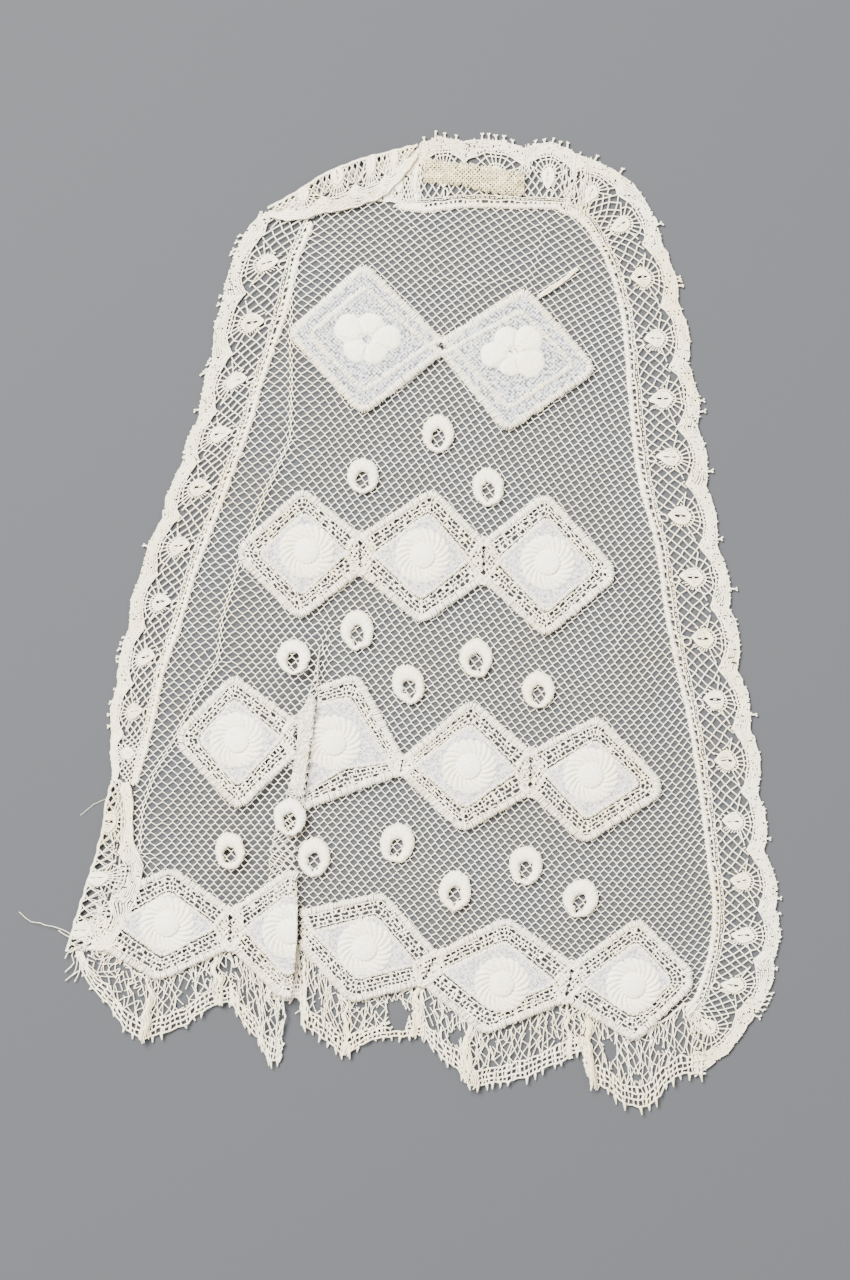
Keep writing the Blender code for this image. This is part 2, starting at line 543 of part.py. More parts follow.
def off_cord(point, path):
    """The point moved straight towards or away from the cord until it is just clear of it."""
    line = [Vector((row["x"], row["y"])) for row in path]
    nearest = line[0]
    for start, end in zip(line, line[1:]):
        along = (point - start).dot(end - start) / (end - start).length_squared
        foot = start.lerp(end, max(0.0, min(1.0, along)))
        if (foot - point).length < (nearest - point).length:
            nearest = foot
    return nearest + (point - nearest).normalized() * CORD_CLEAR


def scallop_ribs(table, path):
    """Seam and outer points all along an edging, the outer ones swelling between the valleys."""
    ribs = []
    for row, following in zip(table, table[1:]):
        steps = SCALLOP_STEPS if row["bulge"] else 1
        seam = Vector((row["seam_x"], row["seam_y"]))
        outer = Vector((row["outer_x"], row["outer_y"]))
        next_seam = Vector((following["seam_x"], following["seam_y"]))
        next_outer = Vector((following["outer_x"], following["outer_y"]))
        out = ((outer + next_outer) - (seam + next_seam)).normalized()
        for step in range(steps):
            share = step / steps
            swell = row["bulge"] * math.sin(math.pi * share) ** 0.8
            inner = off_cord(seam.lerp(next_seam, share), path)
            ribs.append((inner, outer.lerp(next_outer, share) + out * swell))
    end = table[-1]
    inner = off_cord(Vector((end["seam_x"], end["seam_y"])), path)
    ribs.append((inner, Vector((end["outer_x"], end["outer_y"]))))
    return ribs


def build_edging(name, table, path, material, collection):
    sections = []
    for seam, outer in scallop_ribs(table, path):
        section = []
        for row in EDGE_PROFILE:
            point = seam.lerp(outer, row["share"])
            section.append((point.x, point.y, row["height"]))
        section.append((outer.x, outer.y, 0.0))
        section.append((seam.x, seam.y, 0.0))
        sections.append(section)
    return loft(name, sections, False, material, collection)


def build_folded_edging(name, table, material, collection):
    """Edging folded over on itself: a lower layer, a round bend and a flap on top."""
    grid = []
    for row in table:
        fold = Vector((row["fold_x"], row["fold_y"]))
        under = Vector((row["under_x"], row["under_y"]))
        flap = Vector((row["flap_x"], row["flap_y"]))
        inward = ((under + flap) / 2 - fold).normalized()
        turn = fold + inward * (BEND + HALF)
        line = [(under.x, under.y, HALF), (turn.x, turn.y, HALF)]
        for step in range(1, BEND_STEPS):
            angle = math.pi * step / BEND_STEPS
            point = turn - inward * BEND * math.sin(angle)
            line.append((point.x, point.y, HALF + BEND * (1 - math.cos(angle))))
        line += [(turn.x, turn.y, HALF + LAYER), (flap.x, flap.y, HALF + LAYER)]
        grid.append(line)
    return cloth_wall(name, grid, material, collection)


def build_tape(material, collection):
    middle = TAPE_BOTTOM + HALF
    grid = [[(row["x"], row["low"], middle), (row["x"], row["high"], middle)] for row in TAPE]
    return cloth_wall("neck_tape", grid, material, collection)


def build_frill(name, table, over, material, collection):
    """A gathered strip: crests and troughs that grow from the root to the picot edge."""
    grid = []
    for row in table:
        low = HALF + FRILL_RAISE
        root = over_height(row["root_x"], row["root_y"]) if over else HALF
        line = []
        for share in FRILL_SHARES:
            x = blend(row["root_x"], row["hem_x"], share)
            y = blend(row["root_y"], row["hem_y"], share)
            z = blend(root, low, ease(share)) + row["lift"] * ease(share * 1.2)
            line.append((x, y, z))
        grid.append(line)
    return cloth_wall(name, grid, material, collection)


def cut_rips(frills, collection):
    for i, row in enumerate(RIPS):
        bpy.ops.mesh.primitive_cylinder_add(vertices=12, radius=MM, depth=20 * MM)
        cutter = bpy.context.object
        cutter.name = f"rip_cutter_{i + 1}"
        for owner in list(cutter.users_collection):
            owner.objects.unlink(cutter)
        collection.objects.link(cutter)
        for vertex in cutter.data.vertices:
            vertex.co.x *= row["half_width"]
            vertex.co.y *= row["half_length"]
        cutter.location = (row["x"] * MM, row["y"] * MM, 0.0)
        cutter.rotation_euler = (0.0, 0.0, math.radians(row["lean"]))
        cutter.hide_render = True
        cutter.display_type = "WIRE"
        cut = frills[row["frill"]].modifiers.new("rip", "BOOLEAN")
        cut.operation = "DIFFERENCE"
        cut.solver = "EXACT"
        cut.object = cutter


def build_cord(name, path, material, collection):
    """The whipped cord over a join, a round tube along its route."""
    curve = bpy.data.curves.new(name, "CURVE")
    curve.dimensions = "3D"
    curve.bevel_depth = CORD_RADIUS * MM
    curve.bevel_resolution = 2
    curve.use_fill_caps = True
    spline = curve.splines.new("POLY")
    spline.points.add(len(path) - 1)
    for point, row in zip(spline.points, path):
        point.co = (row["x"] * MM, row["y"] * MM, CORD_RADIUS * MM, 1.0)
    curve.materials.append(material)
    item = bpy.data.objects.new(name, curve)
    collection.objects.link(item)
    return item


def toward(point, goal, distance):
    return point + (goal - point).normalized() * distance


def lozenge_loops(row):
    """Twelve points round the outline and round the lawn, two at each corner and one at each side."""
    corner = {key: Vector(row[key]) for key in
              ("top", "left_high", "left_low", "bottom", "right_low", "right_high", "motif")}
    motif = corner["motif"]
    left = (corner["left_high"] + corner["left_low"]) / 2
    right = (corner["right_high"] + corner["right_low"]) / 2
    top, bottom = corner["top"], corner["bottom"]
    outline = [
        toward(top, corner["left_high"], CORNER_ROUND),
        (top + corner["left_high"]) / 2,
        corner["left_high"],
        corner["left_low"],
        (corner["left_low"] + bottom) / 2,
        toward(bottom, corner["left_low"], CORNER_ROUND),
        toward(bottom, corner["right_low"], CORNER_ROUND),
        (bottom + corner["right_low"]) / 2,
        corner["right_low"],
        corner["right_high"],
        (corner["right_high"] + top) / 2,
        toward(top, corner["right_high"], CORNER_ROUND)]
    lawn_top = toward(top, motif, LAWN_IN_TOP)
    lawn_bottom = toward(bottom, motif, LAWN_IN_TOP)
    lawn_left = toward(left, motif, LAWN_IN_SIDE)
    lawn_right = toward(right, motif, LAWN_IN_SIDE)
    lawn_corners = (lawn_top, lawn_left, lawn_bottom, lawn_right)
    lawn = []
    for i, here in enumerate(lawn_corners):
        before, after = lawn_corners[i - 1], lawn_corners[(i + 1) % 4]
        lawn.append(toward(here, before, CORNER_ROUND / 2))
        lawn.append(toward(here, after, CORNER_ROUND / 2))
        lawn.append((here + after) / 2)
    lawn = lawn[1:] + lawn[:1]
    return outline, lawn, motif


def build_lozenge(row, material, collection):
    outline, lawn, motif = lozenge_loops(row)

    def base(point):
        if row["over"]:
            return over_height(point.x, point.y) + HALF + GAP + SLOPE_GAP
        return WALL + GAP

    def loop(points, height):
        return [(point.x, point.y, base(point) + height) for point in points]

    sections = []
    if row["over"]:
        for size in (0.12, 0.5):
            sections.append(loop([motif.lerp(point, size) for point in outline], 0.0))
    sections.append(loop(outline, 0.0))
    if row["kind"] == "plain":
        sections.append(loop(outline, BORDER[0]["height"]))
        inner = [motif.lerp(point, 0.6) for point in outline]
        sections.append(loop(inner, BORDER[-1]["height"]))
        return loft(row["name"], sections, False, material, collection)
    for band in BORDER:
        ring = [outer.lerp(inner, band["share"]) for outer, inner in zip(outline, lawn)]
        sections.append(loop(ring, band["height"]))
    flower = row["kind"] == "flower"
    for band in FLOWER if flower else SWIRL:
        ring = []
        for point in lawn:
            out = (point - motif).normalized()
            reach = band["radius"]
            if flower:
                lobe = math.cos(PETALS * math.atan2(out.y, out.x))
                reach *= 1 + PETAL_DEPTH * lobe
                out = Vector((out.x * FLOWER_WIDTH, out.y * FLOWER_HEIGHT))
            reach = min(reach, (point - motif).length - 0.3)
            ring.append(motif + out * reach)
        sections.append(loop(ring, band["height"]))
    return loft(row["name"], sections, False, material, collection)


def cut_line(cut):
    """Where a lozenge is cut off: beside the pleat's seen fold or the edge of the flap."""
    if cut == "right_of_flap":
        return [(row["flap_x"] + CUT_CLEAR, row["flap_y"]) for row in FOLD_LEFT_LOWER]
    side = CUT_CLEAR if cut == "right_of_fold" else -CUT_CLEAR
    return [(row["fold_x"] + side, row["y"]) for row in PLEAT]


def cut_lozenge(item, cut, collection):
    """What lies past the line is hidden by the layer above it and ends there."""
    line = [Vector(point) for point in cut_line(cut)]
    first = line[0] + (line[0] - line[1]).normalized() * CUT_PAST_END
    last = line[-1] + (line[-1] - line[-2]).normalized() * CUT_PAST_END
    away = Vector((CUT_REACH if cut == "left_of_fold" else -CUT_REACH, 0.0))
    outline = [first, *line, last, last + away, first + away]
    sections = [[(x, y, z) for x, y in outline] for z in (-WALL, 10 * WALL)]
    cutter = loft(f"{item.name}_cutter", sections, False, item.data.materials[0], collection)
    cutter.hide_render = True
    cutter.display_type = "WIRE"
    end = item.modifiers.new("end", "BOOLEAN")
    end.operation = "DIFFERENCE"
    end.solver = "EXACT"
    end.object = cutter


def build_ring(name, row, material, collection):
    """An egg-shaped eyelet: the worked ring swells over the hole, which sits low in it."""
    centre = Vector((row["x"], row["y"]))
    lean = math.radians(row["lean"])
    sections = []
    for step in range(RING_STEPS):
        angle = 2 * math.pi * step / RING_STEPS
        wide, tall = math.cos(angle), math.sin(angle)
        outer = Vector((wide * row["half_width"], tall * row["half_height"]))
        hole = Vector((wide * HOLE_HALF_WIDTH, tall * HOLE_HALF_HEIGHT - HOLE_LOWER))
        section = []
        for band in RING_PROFILE:
            local = outer.lerp(hole, band["share"])
            turned = Vector((local.x * math.cos(lean) - local.y * math.sin(lean),
                             local.x * math.sin(lean) + local.y * math.cos(lean)))
            point = centre + turned
            middle = over_height(point.x, point.y) if row["over"] else HALF
            section.append((point.x, point.y, middle + HALF + GAP + band["height"]))
        sections.append(section)
    return loft(name, sections, True, material, collection)


clear_scene()
parts = new_collection(NAME)
cutters = new_collection("cutters")

net_finish = finish("net_cream", (0.84, 0.82, 0.75), 0.8)
lace_finish = finish("edging_cream", (0.86, 0.84, 0.77), 0.8)
cord_finish = finish("cord_cream", (0.88, 0.86, 0.8), 0.75)
tape_finish = finish("tape_yellow", (0.85, 0.79, 0.58), 0.8)
lawn_finish = finish("lawn_white", (0.8, 0.82, 0.85), 0.75)
stitch_finish = finish("satin_stitch_cream", (0.9, 0.88, 0.82), 0.55)

build_net(net_finish, parts)
build_edging("edging_top", EDGE_TOP, CORD_TOP, lace_finish, parts)
build_edging("edging_right", EDGE_RIGHT, CORD_RIGHT, lace_finish, parts)
build_edging("edging_left", EDGE_LEFT, CORD_LEFT, lace_finish, parts)
build_folded_edging("edging_top_left_fold", FOLD_TOP_LEFT, lace_finish, parts)
build_folded_edging("edging_left_lower_fold", FOLD_LEFT_LOWER, lace_finish, parts)
for cord_name, cord_path in (("seam_cord_left", CORD_LEFT), ("seam_cord_top", CORD_TOP),
                             ("seam_cord_right", CORD_RIGHT)):
    build_cord(cord_name, cord_path, cord_finish, parts)
build_tape(tape_finish, parts)
for lozenge in LOZENGES:
    lozenge_node = build_lozenge(lozenge, lawn_finish, parts)
    if lozenge["cut"]:
        cut_lozenge(lozenge_node, lozenge["cut"], cutters)
for number, ring in enumerate(RINGS, start=1):
    build_ring(f"eyelet_ring_{number:02d}", ring, stitch_finish, parts)
frill_nodes = {}
for frill_name, frill_table, frill_over in (
        ("frill_left", FRILL_LEFT, True), ("frill_fold", FRILL_FOLD, True),
        ("frill_under", FRILL_UNDER, False), ("frill_middle", FRILL_MIDDLE, False),
        ("frill_right", FRILL_RIGHT, False), ("frill_corner", FRILL_CORNER, False)):
    frill_nodes[frill_name] = build_frill(frill_name, frill_table, frill_over, lace_finish, parts)
cut_rips(frill_nodes, cutters)
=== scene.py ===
"""The looks of a lace jabot that lies flat on a table, seen from straight above.

+X is to the right, +Y towards the neck and +Z up, as in the frame. Sizes and places are in
millimetres and become metres in the meshes.
"""

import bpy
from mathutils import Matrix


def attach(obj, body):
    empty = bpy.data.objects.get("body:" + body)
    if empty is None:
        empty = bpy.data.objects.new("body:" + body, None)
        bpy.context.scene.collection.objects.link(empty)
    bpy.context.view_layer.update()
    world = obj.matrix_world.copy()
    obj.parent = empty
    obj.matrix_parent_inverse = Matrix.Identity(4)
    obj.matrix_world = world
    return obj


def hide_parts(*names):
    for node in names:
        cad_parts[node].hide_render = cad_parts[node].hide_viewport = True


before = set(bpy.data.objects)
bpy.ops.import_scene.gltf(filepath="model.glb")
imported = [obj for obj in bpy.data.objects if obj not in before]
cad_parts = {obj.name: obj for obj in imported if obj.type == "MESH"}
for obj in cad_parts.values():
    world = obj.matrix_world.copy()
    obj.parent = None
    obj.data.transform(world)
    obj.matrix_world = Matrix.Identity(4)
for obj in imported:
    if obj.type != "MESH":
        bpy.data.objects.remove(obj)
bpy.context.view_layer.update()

import math
import random
from bisect import bisect_left

import bpy
from mathutils import Vector, noise
from mathutils.geometry import intersect_point_line

# Net ground: one piece of machine-made diamond net in cream cotton. It lies flat on the table, with
# one knife pleat that is open at the neck and folds the left part over the right part at the hem.
MM = 0.001
HALF = 0.5                  # half of the wall that the frame gives every cloth
BEND = 0.65                 # centre-line radius of a folded edge
NET_LIFT = 0.2              # the yarn runs this far above the middle of the frame's wall
NET_YARN = 0.158            # half the thickness of a strand


def rows(columns, *values):
    """A short table: one dictionary for each row, keyed by the names of the columns."""
    names = columns.split()
    return [dict(zip(names, row)) for row in values]


def reader(table, by, name):
    """A function that gives column `name` where column `by` has a value, straight between rows."""
    ordered = sorted(table, key=lambda row: row[by])
    keys = [row[by] for row in ordered]
    values = [row[name] for row in ordered]

    def read(at):
        if at <= keys[0]:
            return values[0]
        if at >= keys[-1]:
            return values[-1]
        i = bisect_left(keys, at)
        share = (at - keys[i - 1]) / (keys[i] - keys[i - 1])
        return values[i - 1] + share * (values[i] - values[i - 1])

    return read


def spots(table, x="x", y="y"):
    """The places that two columns of a table give, row by row."""
    return [Vector((row[x], row[y])) for row in table]


def ease(share):
    share = max(0.0, min(1.0, share))
    return share * share * (3 - 2 * share)


def blend(a, b, share):
    return a + share * (b - a)


PLEAT = rows(
    "y fold_x depth turn",
    (121.0, -8.0, 0.3, 0.0), (80.0, -14.0, 0.3, 0.0), (40.0, -20.5, 0.3, 0.0),
    (2.0, -24.7, 0.3, 0.0), (-4.0, -26.0, 0.3, 45.0), (-11.0, -27.9, 0.5, 115.0),
    (-18.0, -29.9, 0.9, 180.0), (-25.0, -30.7, 1.8, 180.0), (-33.0, -31.6, 2.6, 180.0),
    (-44.0, -32.8, 3.5, 180.0), (-52.0, -33.9, 4.5, 180.0), (-60.0, -35.7, 5.5, 180.0),
    (-67.0, -36.7, 6.0, 180.0), (-75.0, -35.8, 7.0, 180.0), (-90.0, -35.9, 8.5, 180.0),
    (-106.0, -37.5, 9.5, 180.0))
LEVEL_RUN = BEND + HALF + 0.6   # the upper layer stays level this far past the hidden fold
SLOPE = 24.0                    # then comes down to the table over this width
PLEAT_OPENS = 2.0               # above this level the pleat lies flat

fold_x_at = reader(PLEAT, "y", "fold_x")
depth_at = reader(PLEAT, "y", "depth")
turn_at = reader(PLEAT, "y", "turn")


def pleat_at(y):
    """The pleat's section at y: where its bends start and end, and how high it lifts the cloth."""
    depth = depth_at(y)
    turn = max(math.radians(turn_at(y)), 0.001)
    hidden_x = fold_x_at(y) - HALF - BEND - depth
    bend = math.pi * BEND
    radius = bend / turn
    left_x = hidden_x - 2 * radius * math.sin(turn) - depth * math.cos(turn)
    rise = 2 * radius * (1 - math.cos(turn)) + depth * math.sin(turn)
    return dict(depth=depth, turn=turn, hidden_x=hidden_x, bend=bend, radius=radius,
                left_x=left_x, rise=rise)


def pleat_point(y, along):
    """A point of the pleat's middle, `along` millimetres of cloth from the hidden bend's start."""
    pleat = pleat_at(y)
    radius, turn = pleat["radius"], pleat["turn"]
    turned = min(along, pleat["bend"]) / radius
    x = pleat["hidden_x"] - radius * math.sin(turned)
    z = HALF + radius * (1 - math.cos(turned))
    run = min(max(along - pleat["bend"], 0.0), pleat["depth"])
    x -= run * math.cos(turn)
    z += run * math.sin(turn)
    rest = along - pleat["bend"] - pleat["depth"]
    if rest > 0:
        back = turn - rest / radius
        x -= radius * (math.sin(turn) - math.sin(back))
        z += radius * (math.cos(back) - math.cos(turn))
    return x, y, z


def over_height(x, y):
    """Middle height of the cloth left of the pleat, which comes down to the table."""
    pleat = pleat_at(y)
    start = pleat["left_x"] - pleat["depth"] - LEVEL_RUN
    return HALF + pleat["rise"] * (1 - ease((start - x) / SLOPE))


CORD_LEFT = rows(
    "x y",
    (-32.2, 116.2), (-36.4, 105.9), (-38.6, 96.0), (-41.3, 86.0), (-46.6, 71.0), (-50.3, 57.7),
    (-57.9, 37.1), (-65.1, 18.0), (-70.3, 0.9), (-75.5, -14.5), (-78.6, -29.3), (-83.0, -46.0))
CORD_TOP = rows(
    "x y",
    (-7.4, 121.7), (-4.0, 120.7), (2.0, 120.4), (12.0, 121.6), (27.0, 121.4), (38.6, 121.1))
CORD_RIGHT = rows(
    "x y",
    (40.6, 119.9), (44.2, 118.6), (47.3, 116.0), (50.6, 111.3), (54.1, 104.4), (57.9, 91.6),
    (59.3, 79.8), (60.8, 61.5), (63.1, 42.9), (68.3, 22.3), (70.9, 4.1), (74.1, -12.2),
    (77.9, -29.3), (80.8, -47.9), (83.4, -69.3), (84.8, -82.1), (83.6, -95.1), (79.8, -107.4),
    (76.6, -111.8))
NET_LEFT_LOWER = rows(
    "x y", (-84.9, -52.0), (-84.2, -67.0), (-85.6, -78.0), (-90.8, -90.0), (-93.0, -94.0))
NET_NECK = rows(
    "x y",
    (-32.0, 116.6), (-24.0, 122.2), (-16.0, 124.4), (-11.0, 123.3), (-8.0, 121.3), (-4.0, 120.7),
    (2.0, 120.4), (12.0, 121.6), (27.0, 121.4), (38.6, 121.0), (41.0, 119.6))
HEM_LEFT = rows(
    "x y", (-92.0, -90.5), (-76.5, -101.3), (-55.5, -91.8), (-41.0, -106.5), (-37.5, -104.3))
HEM_RIGHT = rows(
    "x y",
    (-47.0, -98.5), (-35.4, -91.3), (-21.0, -107.8), (-0.5, -102.3), (17.5, -116.8),
    (41.3, -107.3), (61.5, -118.8), (70.0, -113.3), (75.2, -110.8))

left_edge_at = reader(CORD_LEFT + NET_LEFT_LOWER, "y", "x")
right_edge_at = reader(CORD_RIGHT, "y", "x")
neck_at = reader(NET_NECK, "x", "y")
hem_left_at = reader(HEM_LEFT, "x", "y")
hem_right_at = reader(HEM_RIGHT, "x", "y")

# The mesh: nearly square cells at the neck and tall ones below, with a short twist at each crossing
CELLS = rows(
    "y width height twist",
    (124.0, 2.95, 2.42, 0.12), (104.0, 2.85, 2.5, 0.14), (88.0, 2.65, 2.7, 0.2),
    (68.0, 2.5, 2.9, 0.36), (-60.0, 2.5, 2.93, 0.45), (-120.0, 2.6, 2.8, 0.45))
NET_TOP = 140.0
NET_FOOT = -132.0
NET_SIDE = 112.0
# How far its columns lean to the right, and its lines of crossings drop toward the right
LEAN = rows("y shift", (-130.0, 0.0), (-60.0, 0.0), (-30.0, 1.2), (0.0, 4.4), (40.0, 10.4),
            (124.0, 24.2))
DROP = rows("x shift", (-110.0, 0.0), (-40.0, 0.0), (-10.0, -2.4), (48.0, -10.4), (60.0, -10.9),
            (110.0, -10.9))
SIDE_RISE = 0.3             # they rise again beside the right seam, over SIDE_REACH
SIDE_REACH = 15.0
SIDE_BELOW = 60.0           # and only below this level
WANDER = 0.35               # how far the weave wanders, over about WANDER_SPAN
WANDER_SPAN = 14.0
JITTER = 0.17               # of each crossing
JITTER_RATE = 1.7
CREASE_WAVE = 0.12          # how far the net waves up and down, over about CREASE_SPAN
CREASE_SPAN = 9
# Lines along which the net is bunched: how far cells are drawn in, over what width, and the ridge
BUNCHED = (
    dict(pull=0.78, width=4.2, lift=0.3, line=(
        (-35.0, 112.0), (-38.0, 96.0), (-38.4, 82.7), (-37.9, 71.0), (-38.4, 53.7), (-46.5, 36.3),
        (-52.9, 18.9), (-58.1, 1.5), (-59.3, -10.2), (-65.6, -20.0), (-71.8, -32.8),
        (-77.9, -43.0), (-81.1, -53.2), (-82.0, -66.0))),
    dict(pull=0.3, width=2.0, lift=0.5, line=((-6.0, 119.0), (0.7, 112.0), (3.0, 106.0))),
    dict(pull=0.35, width=2.2, lift=0.6, line=((35.5, 114.8), (31.4, 100.6), (30.0, 97.0))),
    dict(pull=0.3, width=1.8, lift=0.4, line=(
        (2.3, 101.2), (12.0, 99.0), (22.0, 99.4), (29.6, 100.6))),
    dict(pull=0.35, width=2.0, lift=0.6, line=((58.7, 4.4), (55.8, -7.3))),
    dict(pull=0.45, width=3.0, lift=0.0, line=((-27.2, 0.0), (-28.0, -10.0), (-29.5, -16.0))))
BUNCH_REACH = 3             # of its width: a line draws in nothing farther off
CREASE = rows(
    "y x lift",
    (121.0, -27.6, 0.0), (104.0, -32.6, 0.0), (84.0, -38.3, 0.0), (71.0, -40.0, 0.9),
    (57.0, -41.5, 1.1), (40.0, -46.0, 1.0), (21.0, -57.5, 0.7), (2.0, -60.0, 1.0),
    (-11.0, -63.5, 0.6), (-18.0, -68.0, 0.0), (-34.0, -74.0, 0.0), (-55.0, -79.5, 0.0))
CREASE_WIDTH = 1.6

cell_width_at = reader(CELLS, "y", "width")
cell_height_at = reader(CELLS, "y", "height")
cell_twist_at = reader(CELLS, "y", "twist")
lean_at = reader(LEAN, "y", "shift")
drop_at = reader(DROP, "x", "shift")
crease_x_at = reader(CREASE, "y", "x")
crease_lift_at = reader(CREASE, "y", "lift")


def nearest_on(line, point):
    """The nearest point of a broken line."""
    best = None
    for start, end in zip(line, line[1:]):
        foot, share = intersect_point_line(point, start, end)
        foot = foot.to_2d() if 0 < share < 1 else Vector(end if share >= 1 else start)
        if best is None or (foot - point).length < (best - point).length:
            best = foot
    return best


def bunching(point):
    """How far the bunched lines draw a point of the weave, and how high they lift it."""
    shift, lift = Vector((0.0, 0.0)), 0.0
    for bunch in BUNCHED:
        reach = BUNCH_REACH * bunch["width"]
        if any(not min(places) - reach < at < max(places) + reach
               for at, places in zip(point, zip(*bunch["line"]))):
            continue
        away = point - nearest_on(bunch["line"], point)
        fade = math.exp(-(away.length / bunch["width"]) ** 2)
        shift -= away * bunch["pull"] * fade
        lift += bunch["lift"] * fade * fade
    return shift, lift


def ripple(x, y, span, layer):
    """Smooth noise at a place, between -1 and 1, with bumps about `span` millimetres wide."""
    return noise.noise(Vector((x / span, y / span, layer)))


NOISE_APART = 40.0          # far enough for the three directions to have nothing in common


def wander_at(spot):
    """Smooth noise in three directions at a place, the same in every run."""
    return Vector([noise.noise(spot + Vector((0.0, 0.0, NOISE_APART * axis))) for axis in range(3)])


def drift(x, y, span, layer):
    """How far cloth at a place is out of true, with the same kind of bumps."""
    return wander_at(Vector((x / span, y / span, layer)))


def weave_point(x, y):
    """Where a crossing of the even weave really lies, after the net was cut, gathered and worn."""
    beside = max(0.0, SIDE_REACH - max(0.0, right_edge_at(y) - x - lean_at(y)))
    rise = SIDE_RISE * beside * beside / (2 * SIDE_REACH) * ease((SIDE_BELOW - y) / SIDE_BELOW)
    point = Vector((x + lean_at(y), y + drop_at(x) + rise))
    slow = drift(x, y, WANDER_SPAN, 3.1)
    quick = wander_at(Vector((x * JITTER_RATE, y * JITTER_RATE, 8.3)))
    point += slow.to_2d() * WANDER + quick.to_2d() * JITTER
    return point + bunching(point)[0]


def net_height(x, y):
    """How much a point of the net stands above the flat cloth: the creases and a slight waviness."""
    crease = math.exp(-((x - crease_x_at(y)) / CREASE_WIDTH) ** 2) * crease_lift_at(y)
    wave = CREASE_WAVE * ripple(x, y, CREASE_SPAN, 1.0)
    return crease + wave + bunching(Vector((x, y)))[1]


# The lozenges by their corners: `over` is on the pleat, `cut` names the side of a fold where one
# shows, and `joined` the sides where it runs on into its neighbour or out of sight
LOZENGES = rows(
    "name top left_high left_low bottom right_low right_high motif over kind cut joined",
    ("lozenge_1_left", (-17.0, 105.0), (-38.6, 85.3), (-38.6, 83.5), (-17.5, 60.4),
     (5.3, 78.2), (5.3, 83.0), (-16.0, 82.6), False, "flower", "", "right"),
    ("lozenge_1_right", (29.8, 98.0), (5.9, 82.8), (5.9, 78.2), (24.1, 55.4),
     (49.8, 73.0), (49.4, 75.6), (26.4, 78.8), False, "flower", "", "left"),
    ("lozenge_2_left", (-34.8, 40.2), (-53.8, 22.4), (-53.4, 18.6), (-36.0, 1.0),
     (-18.2, 14.4), (-18.4, 26.8), (-33.5, 21.3), False, "swirl", "", "right"),
    ("lozenge_2_middle", (3.0, 40.0), (-17.8, 26.8), (-17.7, 14.2), (-0.6, -0.2),
     (17.3, 11.8), (17.5, 25.4), (0.0, 20.0), False, "swirl", "", "left right"),
    ("lozenge_2_right", (35.6, 38.8), (18.1, 25.4), (17.9, 11.8), (35.4, -4.0),
     (55.6, 12.6), (55.8, 16.8), (36.2, 18.0), False, "swirl", "", "left"),
    ("lozenge_3_left", (-55.0, -13.9), (-71.0, -30.6), (-71.0, -35.6), (-53.4, -54.2),
     (-37.1, -38.6), (-37.1, -26.6), (-53.8, -33.4), True, "swirl", "", "right"),
    ("lozenge_3_fold", (-31.2, -18.8), (-36.4, -26.6), (-36.6, -38.8), (-38.2, -49.6),
     (-34.6, -50.6), (-32.0, -30.0), (-34.5, -33.0), True, "plain", "", "left right"),
    ("lozenge_3_pleat", (-18.6, -13.7), (-45.0, -22.6), (-45.0, -57.4), (-20.0, -48.6),
     (-6.9, -43.6), (-5.8, -38.0), (-25.7, -34.2), False, "swirl", "right_of_fold", "left right"),
    ("lozenge_3_middle", (14.2, -21.0), (-5.0, -38.0), (-6.3, -43.4), (11.5, -60.6),
     (30.9, -49.8), (31.1, -35.6), (13.4, -41.0), False, "swirl", "", "left right"),
    ("lozenge_3_right", (51.0, -25.9), (31.7, -35.6), (31.5, -49.8), (46.6, -63.8),
     (69.3, -49.6), (68.9, -44.6), (48.7, -43.6), False, "swirl", "", "left"),
    ("lozenge_4_left", (-72.6, -69.7), (-92.4, -78.0), (-92.4, -94.6), (-76.6, -103.5),
     (-56.0, -94.0), (-55.8, -81.4), (-74.0, -86.6), True, "swirl", "right_of_flap", "left right"),
    ("lozenge_4_fold", (-38.0, -69.9), (-55.2, -81.6), (-55.4, -94.0), (-39.6, -109.2),
     (-20.6, -96.0), (-20.6, -80.6), (-38.4, -88.5), True, "swirl", "left_of_fold", "left right"),
    ("lozenge_4_pleat", (-11.2, -77.0), (-35.1, -82.2), (-35.4, -93.4), (-21.0, -109.9),
     (-0.9, -104.5), (4.2, -94.2), (-16.7, -93.6), False, "swirl", "", "left right"),
    ("lozenge_4_middle", (24.4, -84.0), (4.9, -94.2), (-0.2, -104.5), (17.6, -119.0),
     (40.9, -109.5), (43.5, -97.3), (22.9, -104.0), False, "swirl", "", "left right"),
    ("lozenge_4_right", (62.4, -84.3), (44.1, -97.3), (41.5, -109.5), (61.5, -121.0),
     (78.4, -105.0), (78.4, -99.8), (61.0, -104.4), False, "swirl", "", "left"))
CORNERS = ("top", "left_high", "left_low", "bottom", "right_low", "right_high")
NET_UNDER_LOZENGE = 0.94    # the net is cut away inside this share of a lozenge's outline
FOLD_LEFT_LOWER = rows(
    "fold_x fold_y under_x under_y flap_x flap_y",
    (-90.1, -45.0, -86.4, -45.0, -85.0, -45.4), (-91.3, -50.0, -86.0, -50.0, -84.0, -50.0),
    (-92.3, -57.0, -85.8, -57.0, -84.0, -57.0), (-93.9, -64.0, -85.4, -64.0, -83.6, -64.0),
    (-95.4, -69.4, -85.2, -69.4, -80.8, -69.4), (-97.0, -74.0, -85.9, -74.0, -81.8, -74.0),
    (-98.8, -79.5, -87.4, -79.5, -83.2, -79.5), (-100.4, -85.0, -89.8, -85.0, -85.4, -85.0),
    (-101.9, -90.0, -92.0, -90.0, -88.6, -90.0), (-103.4, -94.6, -94.2, -94.0, -91.4, -93.8))
flap_x_at = reader(FOLD_LEFT_LOWER, "flap_y", "flap_x")
CUT_CLEAR = 0.3             # a lozenge ends this far before the pleat's fold, or tucked under it


